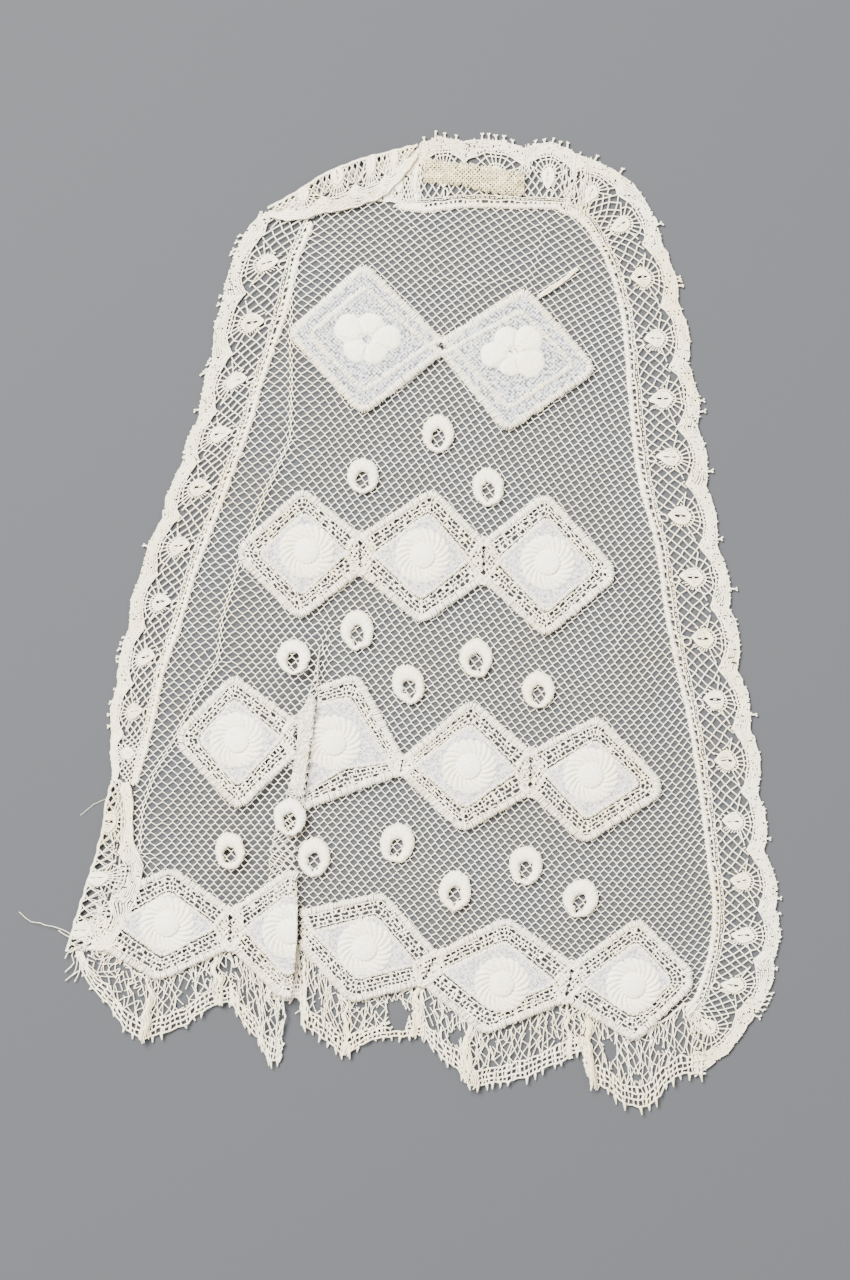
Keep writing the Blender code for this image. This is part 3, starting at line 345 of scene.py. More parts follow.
def keep_side(row, x, y):
    """Whether a point is on the side of the pleat's fold, or of the flap, where a lozenge shows."""
    if row["cut"] == "right_of_fold":
        return x > fold_x_at(y) - CUT_CLEAR
    if row["cut"] == "left_of_fold":
        return x < fold_x_at(y) - CUT_CLEAR
    if row["cut"] == "right_of_flap":
        return x > flap_x_at(y) - CUT_CLEAR
    return True


def inside_loop(loop, x, y):
    """Whether a point is inside a closed loop of corners."""
    inside = False
    for i, (x1, y1) in enumerate(loop):
        x0, y0 = loop[i - 1]
        if (y0 > y) != (y1 > y) and x < x0 + (y - y0) * (x1 - x0) / (y1 - y0):
            inside = not inside
    return inside


covered = []
for lozenge in LOZENGES:
    middle = Vector(lozenge["motif"])
    loop = [middle + (Vector(lozenge[key]) - middle) * NET_UNDER_LOZENGE for key in CORNERS]
    covered.append((lozenge, loop))


def under_lozenge(x, y, over):
    return any(lozenge["over"] == over and keep_side(lozenge, x, y) and inside_loop(loop, x, y)
               for lozenge, loop in covered)


def in_upper_net(point):
    """On the part left of the pleat, up to the hidden fold behind it."""
    x, y = point.x, point.y
    pleat = pleat_at(y)
    spare = pleat["left_x"] + 2 * pleat["bend"] + pleat["depth"] - x
    return (spare > 0 and x > left_edge_at(y) and hem_left_at(x) < y < neck_at(x)
            and not under_lozenge(x, y, True)
            and (y < PLEAT_OPENS or not under_lozenge(x, y, False)))


def in_lower_net(point):
    """On the part right of the hidden fold, which passes under the pleat."""
    x, y = point.x, point.y
    return (pleat_at(y)["hidden_x"] <= x < right_edge_at(y) and hem_right_at(x) < y < neck_at(x)
            and not under_lozenge(x, y, False)
            and (y < PLEAT_OPENS or not under_lozenge(x, y, True)))


def upper_net_point(point):
    x, y = point.x, point.y
    pleat = pleat_at(y)
    if x <= pleat["left_x"]:
        return x, y, over_height(x, y) + NET_LIFT + net_height(x, y)
    along = 2 * pleat["bend"] + pleat["depth"] - (x - pleat["left_x"])
    x, y, z = pleat_point(y, along)
    return x, y, z + NET_LIFT


def lower_net_point(point):
    return point.x, point.y, HALF + NET_LIFT + net_height(point.x, point.y)


BORDER_HALVINGS = 6


def at_border(shown, hidden, inside):
    """The last shown point between a shown and a hidden one."""
    for _ in range(BORDER_HALVINGS):
        between = (shown + hidden) / 2
        if inside(between):
            shown = between
        else:
            hidden = between
    return shown


def strand(nodes, inside, place, half_width, crossing=0.0):
    """One strand through the nodes, cut where it leaves the cloth: its runs of placed points."""
    runs, run = [], []
    before, before_shown = None, False
    for i, node in enumerate(nodes):
        shown = inside(node)
        if shown:
            if before is not None and not before_shown:
                run = [(*place(at_border(node, before, inside)), half_width)]
            x, y, z = place(node)
            run.append((x, y, z + (crossing if i % 2 else -crossing), half_width))
        elif before_shown:
            run.append((*place(at_border(before, node, inside)), half_width))
            runs.append(run)
            run = []
        before, before_shown = node, shown
    return [run for run in runs + [run] if len(run) > 1]


def net_strands(inside, place):
    """The mesh of the whole net: at every crossing a short twist, and the two arms on its right."""
    levels = []
    y = NET_TOP
    while y > NET_FOOT:
        levels.append(y)
        y -= cell_height_at(y) / 2
    columns = round(NET_SIDE / (CELLS[-1]["width"] / 2)) // 2 * 2
    ends = {}
    for j, level in enumerate(levels):
        half = Vector((0.0, cell_twist_at(level) / 2))
        for i in range(-columns + j % 2, columns + 1, 2):
            spot = weave_point(i * cell_width_at(level) / 2, level)
            ends[i, j] = (spot + half, spot - half)
    runs = []
    for (i, j), (high, low) in ends.items():
        nodes = [high, low]
        if (i + 1, j - 1) in ends:
            nodes.insert(0, ends[i + 1, j - 1][1])
        if (i + 1, j + 1) in ends:
            nodes.append(ends[i + 1, j + 1][0])
        runs += strand(nodes, inside, place, NET_YARN)
    return runs


class Field:
    """A socket of a finish's nodes that works in ordinary sums: each of them adds a Math node."""

    def __init__(self, finish, socket):
        self.finish = finish
        self.socket = socket

    def sum(self, operation, *terms):
        return self.finish.node("ShaderNodeMath", {"operation": operation}, dict(enumerate(terms)))

    def __add__(self, other):
        return self.sum("ADD", self, other)

    __radd__ = __add__

    def __sub__(self, other):
        return self.sum("SUBTRACT", self, other)

    def __rsub__(self, other):
        return self.sum("SUBTRACT", other, self)

    def __mul__(self, other):
        return self.sum("MULTIPLY", self, other)

    __rmul__ = __mul__

    def wave(self):
        """The sine of the value."""
        return self.sum("SINE", self)


class Finish:
    """A material whose nodes come from one method, and which ends in a Principled shader."""

    def __init__(self, name, roughness, sheen):
        self.material = bpy.data.materials.new(name)
        self.material.use_nodes = True
        self.nodes = self.material.node_tree.nodes
        self.links = self.material.node_tree.links
        self.shader = self.nodes["Principled BSDF"]
        for key, value in (("Roughness", roughness), ("Sheen Weight", sheen),
                           ("Specular IOR Level", 0.3)):
            self.shader.inputs[key].default_value = value
        self.place = self.node("ShaderNodeTexCoord", {}, {}, "Object")

    def node(self, kind, settings, values, output=0):
        node = self.nodes.new(kind)
        for name, value in settings.items():
            setattr(node, name, value)
        for key, value in values.items():
            self.feed(node.inputs[key], value)
        return Field(self, node.outputs[output])

    def feed(self, socket, value):
        if isinstance(value, Field):
            self.links.new(value.socket, socket)
        else:
            socket.default_value = value

    def ramp(self, value, stops):
        """A Color Ramp whose stops are pairs of a position and a colour."""
        field = self.node("ShaderNodeValToRGB", {}, {0: value})
        band = field.socket.node.color_ramp
        while len(band.elements) < len(stops):
            band.elements.new(1.0)
        for element, (position, colour) in zip(band.elements, stops):
            element.position = position
            element.color = (*colour, 1.0)
        return field

    def mottle(self, size, detail=2.0):
        """Soft noise whose spots are about `size` millimetres across."""
        return self.node("ShaderNodeTexNoise", {},
                         {"Vector": self.place, "Scale": 1 / (size * MM), "Detail": detail})

    def mix(self, share, a, b):
        return self.node("ShaderNodeMix", {"data_type": "RGBA"}, {0: share, 6: a, 7: b}, 2)

    def surface(self, colour, height=None, depth=0.0):
        """The colour, and a bump `depth` millimetres deep where there is a height."""
        self.feed(self.shader.inputs["Base Color"], colour)
        if height:
            bump = self.node("ShaderNodeBump", {}, {"Height": height, "Distance": depth * MM})
            self.feed(self.shader.inputs["Normal"], bump)
        return self.material


AGE_PATCH = 22.0
YARN_GRAIN = 0.8
YARN_SHADE = (0.6, 0.55, 0.46, 1.0)


def yarn_finish(name, clean, aged, roughness):
    """Cotton yarn: a little age in patches, and a grain of fuzz and twist."""
    finish = Finish(name, roughness, 0.2)
    patches = finish.ramp(finish.mottle(AGE_PATCH), ((0.38, clean), (0.72, aged)))
    fuzz = finish.mottle(YARN_GRAIN, 4.0)
    shaded = finish.mix((fuzz - 0.45) * 1.1 + 0.1, patches, YARN_SHADE)
    return finish.surface(shaded, fuzz, 0.3)


def yarn_tree():
    """Geometry Nodes that lay yarn along every run of edges, as wide as its points say."""
    tree = bpy.data.node_groups.new("lay_yarn", "GeometryNodeTree")
    for name, kind in (("Runs", "Geometry"), ("Sides", "Int"), ("Flatness", "Float"),
                       ("Closed ends", "Bool"), ("Yarn", "Material")):
        tree.interface.new_socket(name, in_out="INPUT", socket_type=f"NodeSocket{kind}")
    tree.interface.new_socket("Cloth", in_out="OUTPUT", socket_type="NodeSocketGeometry")
    (source, route, upright, circle, squash, section, width, skin, smooth, realize, paint,
     result) = (tree.nodes.new(kind) for kind in (
         "NodeGroupInput", "GeometryNodeMeshToCurve", "GeometryNodeSetCurveNormal",
         "GeometryNodeCurvePrimitiveCircle", "ShaderNodeCombineXYZ", "GeometryNodeTransform",
         "GeometryNodeInputNamedAttribute", "GeometryNodeCurveToMesh",
         "GeometryNodeSetShadeSmooth", "GeometryNodeRealizeInstances", "GeometryNodeSetMaterial",
         "NodeGroupOutput"))
    upright.mode = "Z_UP"
    width.data_type = "FLOAT"
    for node, key, value in ((circle, "Radius", 1.0), (squash, "X", 1.0), (squash, "Z", 1.0),
                             (width, "Name", "half_width")):
        node.inputs[key].default_value = value
    for start, out, end, into in (
            (source, "Runs", route, "Mesh"), (route, "Curve", upright, "Curve"),
            (upright, "Curve", skin, "Curve"), (width, "Attribute", skin, "Scale"),
            (source, "Sides", circle, "Resolution"), (source, "Flatness", squash, "Y"),
            (circle, "Curve", section, "Geometry"), (squash, "Vector", section, "Scale"),
            (section, "Geometry", skin, "Profile Curve"), (source, "Closed ends", skin, "Fill Caps"),
            (skin, "Mesh", smooth, "Geometry"), (smooth, "Geometry", realize, "Geometry"),
            (realize, "Geometry", paint, "Geometry"), (source, "Yarn", paint, "Material"),
            (paint, "Geometry", result, "Cloth")):
        tree.links.new(start.outputs[out], end.inputs[into])
    return tree


lay_yarn_tree = yarn_tree()


def lay_yarn(name, runs, material, sides=3, flatness=1.0, closed_ends=True):
    """A mesh of yarn: each run is a list of x, y, z and half width, and may end where it starts."""
    points, widths, edges = [], [], []
    for run in runs:
        first = len(points)
        round_it = len(run) > 3 and run[0] == run[-1]
        if round_it:
            run = run[:-1]
        points += [(x * MM, y * MM, z * MM) for x, y, z, _ in run]
        widths += [half_width * MM for *_, half_width in run]
        edges += [(i, i + 1) for i in range(first, len(points) - 1)]
        if round_it:
            edges.append((len(points) - 1, first))
    mesh = bpy.data.meshes.new(name)
    mesh.from_pydata(points, edges, [])
    mesh.attributes.new("half_width", "FLOAT", "POINT").data.foreach_set("value", widths)
    return grown(name, mesh, lay_yarn_tree, {
        "Sides": sides, "Flatness": flatness, "Closed ends": closed_ends, "Yarn": material})


def placed(name, data):
    """A new object at the origin of the scene."""
    item = bpy.data.objects.new(name, data)
    bpy.context.scene.collection.objects.link(item)
    return item


def grown(name, mesh, tree, values):
    """What a Geometry Nodes tree makes of a mesh, as a plain mesh object."""
    item = placed(name, mesh)
    growth = item.modifiers.new("growth", "NODES")
    growth.node_group = tree
    sockets = {s.name: s.identifier for s in tree.interface.items_tree if s.in_out == "INPUT"}
    for key, value in values.items():
        growth[sockets[key]] = value
    state = bpy.context.evaluated_depsgraph_get()
    result = bpy.data.meshes.new_from_object(item.evaluated_get(state))
    item.modifiers.clear()
    item.data = result
    result.name = name
    return item


def dressed(piece, slot, *nodes):
    """The piece rides on the jabot and stands for CAD nodes, which it hides. Its slot is not used."""
    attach(piece, "root")
    if nodes:
        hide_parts(*nodes)
    return piece


net_cotton = yarn_finish("net_cotton", (0.96, 0.89, 0.74), (0.92, 0.8, 0.55), 0.8)
net_runs = net_strands(in_upper_net, upper_net_point) + net_strands(in_lower_net, lower_net_point)
net_cloth = lay_yarn("net", net_runs, net_cotton, sides=4, closed_ends=False)
dressed(net_cloth, "net", "net_ground")

# Seam cords: the net's rolled edge, whipped together with the edging in close slanting stitches.
# Each is a round ridge of cream cotton along the left side, the neck or the right side.
CORD_HALF = 0.75
CORD_REACH = 0.8            # the whipping's half width, as a share of the cord's
CORD_LOW = 0.3              # its stitches start this far above the table
CORD_RISE = 0.95            # and rise this far over their ends
CORD_LEAN = 0.8             # of a whipping stitch, for each unit across the cord
CORD_STITCH = 0.6           # from one stitch to the next
CORD_YARN = 0.55            # half a stitch's thickness, as a share of that
STITCH_SPAN = 1.6           # over which a row of stitches swells and narrows
STITCH_ARCH = ((-1.0, 0.0), (-0.72, 0.66), (0.0, 1.0), (0.72, 0.66), (1.0, 0.0))


def smooth_path(points, step):
    """Evenly spaced points on a smooth curve through the given ones."""
    line = [Vector(point) for point in points]
    line = [2 * line[0] - line[1], *line, 2 * line[-1] - line[-2]]
    fine = []
    for a, b, c, d in zip(line, line[1:], line[2:], line[3:]):
        count = max(2, math.ceil((c - b).length / step * 3))
        for k in range(count):
            t = k / count
            fine.append(0.5 * (2 * b + (c - a) * t + (2 * a - 5 * b + 4 * c - d) * t * t
                               + (3 * b - a - 3 * c + d) * t ** 3))
    fine.append(line[-2])
    return even_points(fine, step)


def even_points(fine, step):
    """A broken line walked at even steps."""
    lengths = [0.0]
    for a, b in zip(fine, fine[1:]):
        lengths.append(lengths[-1] + (b - a).length)
    count = max(1, round(lengths[-1] / step))
    even, i = [], 0
    for k in range(count + 1):
        goal = lengths[-1] * k / count
        while i < len(fine) - 2 and lengths[i + 1] < goal:
            i += 1
        span = lengths[i + 1] - lengths[i]
        even.append(fine[i].lerp(fine[i + 1], (goal - lengths[i]) / span if span else 0.0))
    return even


def stitched(path, half_width, height, rise, yarn, lean, draw):
    """Close stitches over a hidden core: one arched run at each point of an even path."""
    runs = []
    for i, point in enumerate(path):
        ahead = (path[min(i + 1, len(path) - 1)] - path[max(i - 1, 0)]).normalized()
        side = Vector((-ahead.y, ahead.x)) + ahead * lean
        uneven = ripple(point.x, point.y, STITCH_SPAN, 6.0)
        reach = half_width * draw.uniform(0.8, 1.2) * (1 + 0.5 * uneven)
        shift = ahead * draw.uniform(-0.4, 0.4) * yarn
        shift += side * (draw.uniform(-0.1, 0.1) + 0.2 * uneven)
        lift = rise * draw.uniform(0.82, 1.12)
        thick = draw.uniform(0.85, 1.2)
        run = []
        for share, up in STITCH_ARCH:
            spot = point + shift + side * share * reach
            run.append((spot.x, spot.y, height(spot.x, spot.y) + lift * up, yarn * thick))
        runs.append(run)
    return runs


cord_cotton = yarn_finish("cord_cotton", (0.96, 0.88, 0.72), (0.92, 0.8, 0.55), 0.7)
cord_draw = random.Random(3)
for cord_name, cord_table in (("seam_cord_left", CORD_LEFT),
                              ("seam_cord_top", CORD_TOP + CORD_RIGHT[:1]),
                              ("seam_cord_right", CORD_RIGHT)):
    cord_path = smooth_path(spots(cord_table), CORD_STITCH)
    cord_runs = stitched(cord_path, CORD_HALF * CORD_REACH, lambda x, y: CORD_LOW, CORD_RISE,
                         CORD_STITCH * CORD_YARN, CORD_LEAN, cord_draw)
    cord = lay_yarn(f"{cord_name}_whipping", cord_runs, cord_cotton, sides=4)
    dressed(cord, "cord", cord_name)

# Edging: one length of scalloped bobbin-type cotton lace, with a leaf in open mesh in every scallop
# and a dense cloth-stitch band with picots outside it. It is sewn to the net over the seam cord.
EDGE_RIGHT = rows(
    "seam_x seam_y outer_x outer_y bulge",
    (42.0, 120.5, 44.6, 136.2, 1.0), (48.0, 117.2, 60.5, 128.0, 1.6),
    (53.2, 109.5, 69.0, 110.8, 1.4), (58.9, 92.0, 73.9, 92.8, 1.8),
    (60.6, 73.5, 76.6, 75.5, 1.8), (62.3, 57.5, 79.3, 57.0, 1.8),
    (64.4, 41.5, 81.6, 40.5, 1.6), (69.2, 23.5, 85.0, 23.0, 1.8),
    (71.7, 6.0, 88.6, 5.0, 1.8), (75.2, -12.0, 90.8, -13.0, 1.8),
    (79.1, -30.0, 94.6, -30.0, 1.8), (81.9, -47.5, 97.0, -48.0, 1.6),
    (84.1, -65.0, 98.6, -65.5, 2.0), (85.9, -82.0, 101.9, -82.5, 1.8),
    (84.5, -96.5, 101.2, -97.5, 1.8), (79.8, -110.0, 96.0, -112.8, 1.8),
    (77.8, -112.6, 80.4, -129.3, 2.4))
EDGE_LEFT = rows(
    "seam_x seam_y outer_x outer_y bulge",
    (-27.8, 128.5, -36.5, 133.1, 0.0), (-34.3, 113.7, -51.0, 113.7, 1.2),
    (-39.3, 98.8, -57.2, 95.2, 1.2), (-44.2, 81.0, -60.3, 77.6, 1.2),
    (-49.2, 65.4, -64.2, 60.9, 1.2), (-54.1, 50.5, -69.6, 46.3, 1.2),
    (-60.5, 33.2, -75.1, 30.9, 1.2), (-67.0, 14.9, -81.3, 14.6, 1.2),
    (-72.0, -0.3, -84.6, -0.9, 1.2), (-76.8, -16.3, -88.0, -17.4, 1.2),
    (-80.9, -31.8, -89.9, -32.3, 0.6), (-84.0, -41.6, -89.7, -41.6, 0.0))
EDGE_TOP = rows(
    "seam_x seam_y outer_x outer_y bulge",
    (-9.6, 123.2, -10.4, 133.4, 0.0), (-4.0, 121.9, -3.6, 134.4, 0.0),
    (-0.4, 121.6, -0.4, 139.6, 1.4), (12.0, 122.8, 12.0, 139.6, 1.8),
    (29.6, 122.6, 29.8, 137.6, 2.4), (41.3, 121.6, 43.8, 136.6, 0.0))
FOLD_TOP_LEFT = rows(
    "fold_x fold_y under_x under_y flap_x flap_y",
    (-45.0, 120.9, -44.4, 119.0, -44.4, 118.0), (-40.0, 123.4, -39.0, 119.0, -39.0, 117.3),
    (-35.0, 126.4, -33.5, 118.2, -33.5, 117.9), (-30.0, 129.8, -28.5, 119.6, -28.3, 119.6),
    (-25.0, 132.2, -23.6, 122.1, -23.4, 120.3), (-20.0, 134.3, -19.0, 123.3, -18.8, 121.5),
    (-15.0, 135.9, -14.5, 123.9, -14.3, 123.0), (-10.6, 136.9, -10.4, 123.4, -10.4, 124.8),
    (-8.2, 137.5, -8.4, 126.2, -8.4, 127.2), (-4.8, 138.4, -4.8, 130.6, -4.8, 131.4),
    (-1.5, 139.4, -1.5, 135.2, -1.5, 135.8))
FLAP_COVERS = 1.2           # the left edging ends this far inside the fold over it
# Picots stand in groups on the scallops: where a group starts and ends, as shares of its scallop
PICOTS = rows(
    "piece scallop first last count",
    ("edging_left", 1, 0.04, 0.33, 4), ("edging_left", 2, 0.0, 0.12, 2),
    ("edging_left", 3, 0.0, 0.27, 4), ("edging_left", 3, 0.9, 0.9, 1),
    ("edging_left", 6, 0.5, 0.5, 1), ("edging_left", 8, 0.15, 0.6, 5),
    ("edging_left", 9, 0.05, 0.8, 4), ("edging_top", 2, 0.06, 0.06, 1),
    ("edging_top", 2, 0.35, 0.81, 3), ("edging_top", 3, 0.27, 0.79, 5),
    ("edging_top", 4, 0.22, 0.86, 5), ("edging_right", 0, 0.3, 0.77, 2),
    ("edging_right", 1, 0.73, 0.73, 1), ("edging_right", 2, 0.55, 0.7, 3),
    ("edging_right", 4, 0.57, 0.77, 2), ("edging_right", 5, 0.75, 0.75, 1),
    ("edging_right", 6, 0.9, 0.9, 1), ("edging_right", 7, 0.7, 0.7, 1),
    ("edging_right", 9, 0.75, 0.75, 1), ("edging_right", 11, 0.8, 0.8, 1),
    ("edging_right", 12, 0.8, 0.8, 1), ("edging_right", 13, 0.1, 0.1, 1),
    ("edging_right", 14, 0.1, 0.1, 1), ("edging_right", 14, 0.6, 1.0, 5))
# One scallop of the pattern, measured along the band and across it from the seam
REPEAT = 17.0
DEPTH = 16.0
EDGE_HEIGHT = 0.78          # middle of the yarn above the table
EDGE_WAVE = 0.15            # how far it waves up and down, over about EDGE_WAVE_SPAN
EDGE_WAVE_SPAN = 7
CORD_COVERS = 0.6           # the pattern starts this share of the cord's half width from its middle
SCALLOP_ROUND = 0.8         # below 1 for a scallop fuller than a sine
MESH_STEP = (REPEAT / 11, 1.52)
MESH_YARN = 0.2
MESH_START = 2.1
MESH_WANDER = 0.55          # how far the lace is out of true, over about MESH_SPAN
MESH_SPAN = 3.2
SNAG = 0.22                 # how far single threads are out of true, over about SNAG_SPAN
SNAG_SPAN = 1.1
MESH_END = 13.5             # the mesh is cut off at the arc before this
HEADING = (1.1, 1.65, 2.1)  # the three lines beside the seam, with slots and pinholes between
FOOTING_STEP = 1.9          # between the threads that sew the lace to the cord
VALLEY_DEPTH = 10.6         # the cloth wedge between two scallops reaches in to here
ARC_DEPTH = 12.8            # and the arc over the leaf lies here
HOLE_ROW = 0.75
ARC_HOLES = 13
ARC_END = 2.2               # the holes stop this far before the valleys
FAN_BARS = 9                # from the leaf's wide end to the arc
FAN_TURN = math.radians(64.0)
FAN_SPREAD = 1.6
FAN_STEP = 0.35             # a bar grows by this until it meets the arc
FAN_TRIES = 8
FAN_ROOT = 0.62             # the bars start this share of the ring's reach from the leaf's middle
FAN_RING = 0.62             # and a second ring crosses them here
LACE_THREAD = 0.2
LEAF = dict(along=8.9, tip=4.2, end=9.7, half_width=2.35, ring_along=2.95, ring_across=3.3)
LEAF_THREADS = 9
LEAF_STEPS = 10
LEAF_ROUND = (1.35, 0.75)   # where it is widest, and how full it is there
LEAF_THREAD = 0.24
LEAF_MIDRIB = ((0, 4), (5, 7), (8, 11))     # its points, with a slot after each part
LEAF_SHIFT = 0.2            # of its ring and fan from its own middle
LEAF_SLANTS = 6             # slanting threads on its lower side, half as many on the other
SLANT_TURN = (80.0, 140.0)
SLANT_REACH = (0.55, 1.1)
SLANT_DROP = 0.9
ROUND_HOLE = dict(along=9.7, across=2.9, radius=1.05)
BAND_THREADS = 8
BAND_BREAK = 0.13           # the share of the band's steps with a pinhole in a thread
PICOT = 1.5
BUMP_STEP = 1.9


def off_cord(point, line, clear):
    """The point moved straight away from the cord until it is just clear of it."""
    nearest = nearest_on(line, point)
    return nearest + (point - nearest).normalized() * clear


def edging_place(table, path):
    """Places a point of the pattern on a stretch of edging: `along` it, and `across` from the seam."""
    line = spots(path)
    line = [3 * line[0] - 2 * line[1], *line, 3 * line[-1] - 2 * line[-2]]
    seams, outers = spots(table, "seam_x", "seam_y"), spots(table, "outer_x", "outer_y")

    def place(point):
        along = point.x / REPEAT
        k = min(max(int(along), 0), len(table) - 2)
        share = along - k
        (seam, next_seam), (outer, next_outer) = seams[k:k + 2], outers[k:k + 2]
        out = ((outer + next_outer) - (seam + next_seam)).normalized()
        inner = off_cord(seam.lerp(next_seam, share), line, CORD_HALF * CORD_COVERS)
        swell = table[k]["bulge"] * max(0.0, math.sin(math.pi * share)) ** SCALLOP_ROUND
        edge = outer.lerp(next_outer, share) + out * swell
        spot = inner.lerp(edge, point.y / DEPTH)
        wander = drift(spot.x, spot.y, MESH_SPAN, 5.0) * MESH_WANDER
        wander += drift(spot.x, spot.y, SNAG_SPAN, 8.0) * SNAG
        wave = ripple(spot.x, spot.y, EDGE_WAVE_SPAN, 2.0)
        return spot.x + wander.x, spot.y + wander.y, EDGE_HEIGHT + EDGE_WAVE * wave

    return place


fold_top_at = reader(FOLD_TOP_LEFT, "fold_x", "fold_y")


def before_flap(x, y):
    """Whether a point of the left edging is below the fold that covers its end."""
    return y < fold_top_at(x) - FLAP_COVERS


def arch(along):
    """From 0 at a scallop's valleys to 1 over its leaf."""
    return abs(math.sin(math.pi * along / REPEAT))


def inner_arc(along):
    return VALLEY_DEPTH + (ARC_DEPTH - VALLEY_DEPTH) * arch(along) ** 0.5


def outer_arc(along):
    return inner_arc(along) + HOLE_ROW * arch(along) ** 0.5


def in_open_mesh(point):
    """Inside the arc, and off the leaf's ring, the fan beyond it and the hole before its tip."""
    along, across = point.x % REPEAT, point.y
    leaf_middle = (LEAF["tip"] + LEAF["end"]) / 2 + LEAF_SHIFT
    off_leaf = math.hypot((along - LEAF["along"]) / LEAF["ring_along"],
                          (across - leaf_middle) / LEAF["ring_across"]) > 1
    off_fan = abs(math.atan2(along - LEAF["along"], across - leaf_middle)) > FAN_TURN
    off_hole = math.hypot(along - ROUND_HOLE["along"],
                          across - ROUND_HOLE["across"]) > ROUND_HOLE["radius"]
    return across < inner_arc(along) and off_leaf and off_fan and off_hole


def lattice(place, keep, size, step, half_width, start=(0.0, 0.0), crossing=0.06):
    """Diagonal strands over a patch of lace: its far corner, half a cell, and its near corner."""
    columns = round((size[0] - start[0]) / step[0])
    levels = round((size[1] - start[1]) / step[1])
    runs = []
    for slant in (1, -1):
        for first in range(-levels - levels % 2, columns + levels + 2, 2):
            nodes = [Vector((start[0] + (first + slant * j) * step[0], start[1] + j * step[1]))
                     for j in range(levels + 1) if 0 <= first + slant * j <= columns]
            runs += strand(nodes, keep, place, half_width, crossing * slant)
    return runs


def thread(place, points, half_width, lift=0.0):
    """One run through points of the pattern; the half width is a number or one for each point."""
    widths = half_width if isinstance(half_width, list) else [half_width] * len(points)
    run = []
    for point, width in zip(points, widths):
        x, y, z = place(Vector(point))
        run.append((x, y, z + lift, width))
    return run


def dashed(place, points, half_width, lift=0.0):
    """The run in short pieces, with a pinhole after each."""
    return [thread(place, points[i:i + 3], half_width, lift) for i in range(0, len(points) - 2, 3)]


def stretch(first, last, step, across):
    """Points of the pattern along a line whose distance from the seam is a function."""
    count = max(2, round((last - first) / step))
    return [(blend(first, last, i / count), across(blend(first, last, i / count)))
            for i in range(count + 1)]


def leaf_runs(place, start):
    """A solid leaf that points to the seam, with slots in it and a fan of holes beyond it."""
    runs = []
    side_threads = LEAF_THREADS // 2
    length = LEAF["end"] - LEAF["tip"]
    for k in range(-side_threads, side_threads + 1):
        points, widths = [], []
        for i in range(LEAF_STEPS + 1):
            share = i / LEAF_STEPS
            wide = LEAF["half_width"] * math.sin(math.pi * share ** LEAF_ROUND[0]) ** LEAF_ROUND[1]
            points.append((start + LEAF["along"] + wide * k / side_threads,
                           LEAF["tip"] + length * share))
            widths.append(max(LEAF_THREAD, wide * 0.15))
        if k:
            runs.append(thread(place, points, widths, 0.25))
        else:
            runs += [thread(place, points[first:last], LEAF_THREAD, 0.2)
                     for first, last in LEAF_MIDRIB]
    middle = Vector((LEAF["along"], (LEAF["tip"] + LEAF["end"]) / 2 + LEAF_SHIFT))
    for side, count in ((1, LEAF_SLANTS), (-1, LEAF_SLANTS // 2)):
        for i in range(count):
            turn = math.radians(blend(*SLANT_TURN, i / (count - 1)))
            out = Vector((math.sin(turn) * LEAF["ring_along"] * side,
                          math.cos(turn) * LEAF["ring_across"]))
            foot, head = (middle + out * reach for reach in SLANT_REACH)
            foot.y += SLANT_DROP
            runs.append(thread(place, [(start + foot.x, foot.y), (start + head.x, head.y)], 0.18))
    inner_ring, outer_ring = [], []
    for i in range(FAN_BARS):
        turn = blend(-FAN_TURN, FAN_TURN, i / (FAN_BARS - 1))
        out = Vector((math.sin(turn) * LEAF["ring_along"], math.cos(turn) * LEAF["ring_across"]))
        foot = middle + out
        head = foot + Vector((math.sin(turn) * FAN_SPREAD, math.cos(turn)))
        for _ in range(FAN_TRIES):
            if head.y < inner_arc(head.x):
                head += Vector((math.sin(turn) * FAN_STEP, math.cos(turn) * FAN_STEP))
        root = middle + out * FAN_ROOT
        bar = [(start + root.x, root.y), (start + head.x, head.y)]
        runs.append(thread(place, bar, LACE_THREAD))
        inner_ring.append((start + foot.x, foot.y))
        between = foot.lerp(head, FAN_RING)
        outer_ring.append((start + between.x, between.y))
    runs += [thread(place, ring, LACE_THREAD) for ring in (inner_ring, outer_ring)]
    hole = [(start + ROUND_HOLE["along"] + ROUND_HOLE["radius"] * math.sin(math.pi * i / 5),
             ROUND_HOLE["across"] + ROUND_HOLE["radius"] * math.cos(math.pi * i / 5))
            for i in range(11)]
    runs.append(thread(place, hole, 0.27))
    return runs


def broken(place, points, widths, lift, draw):
    """The run with pinholes at random places, as in hand-made cloth stitch."""
    runs, first = [], 0
    for i in range(2, len(points) - 2):
        if draw.random() < BAND_BREAK and i - first > 1:
            x, y = points[i]
            runs.append(thread(place, points[first:i] + [(x - 0.4, y)], widths[first:i + 1], lift))
            first = i
    runs.append(thread(place, points[first:], widths[first:], lift))
    return runs


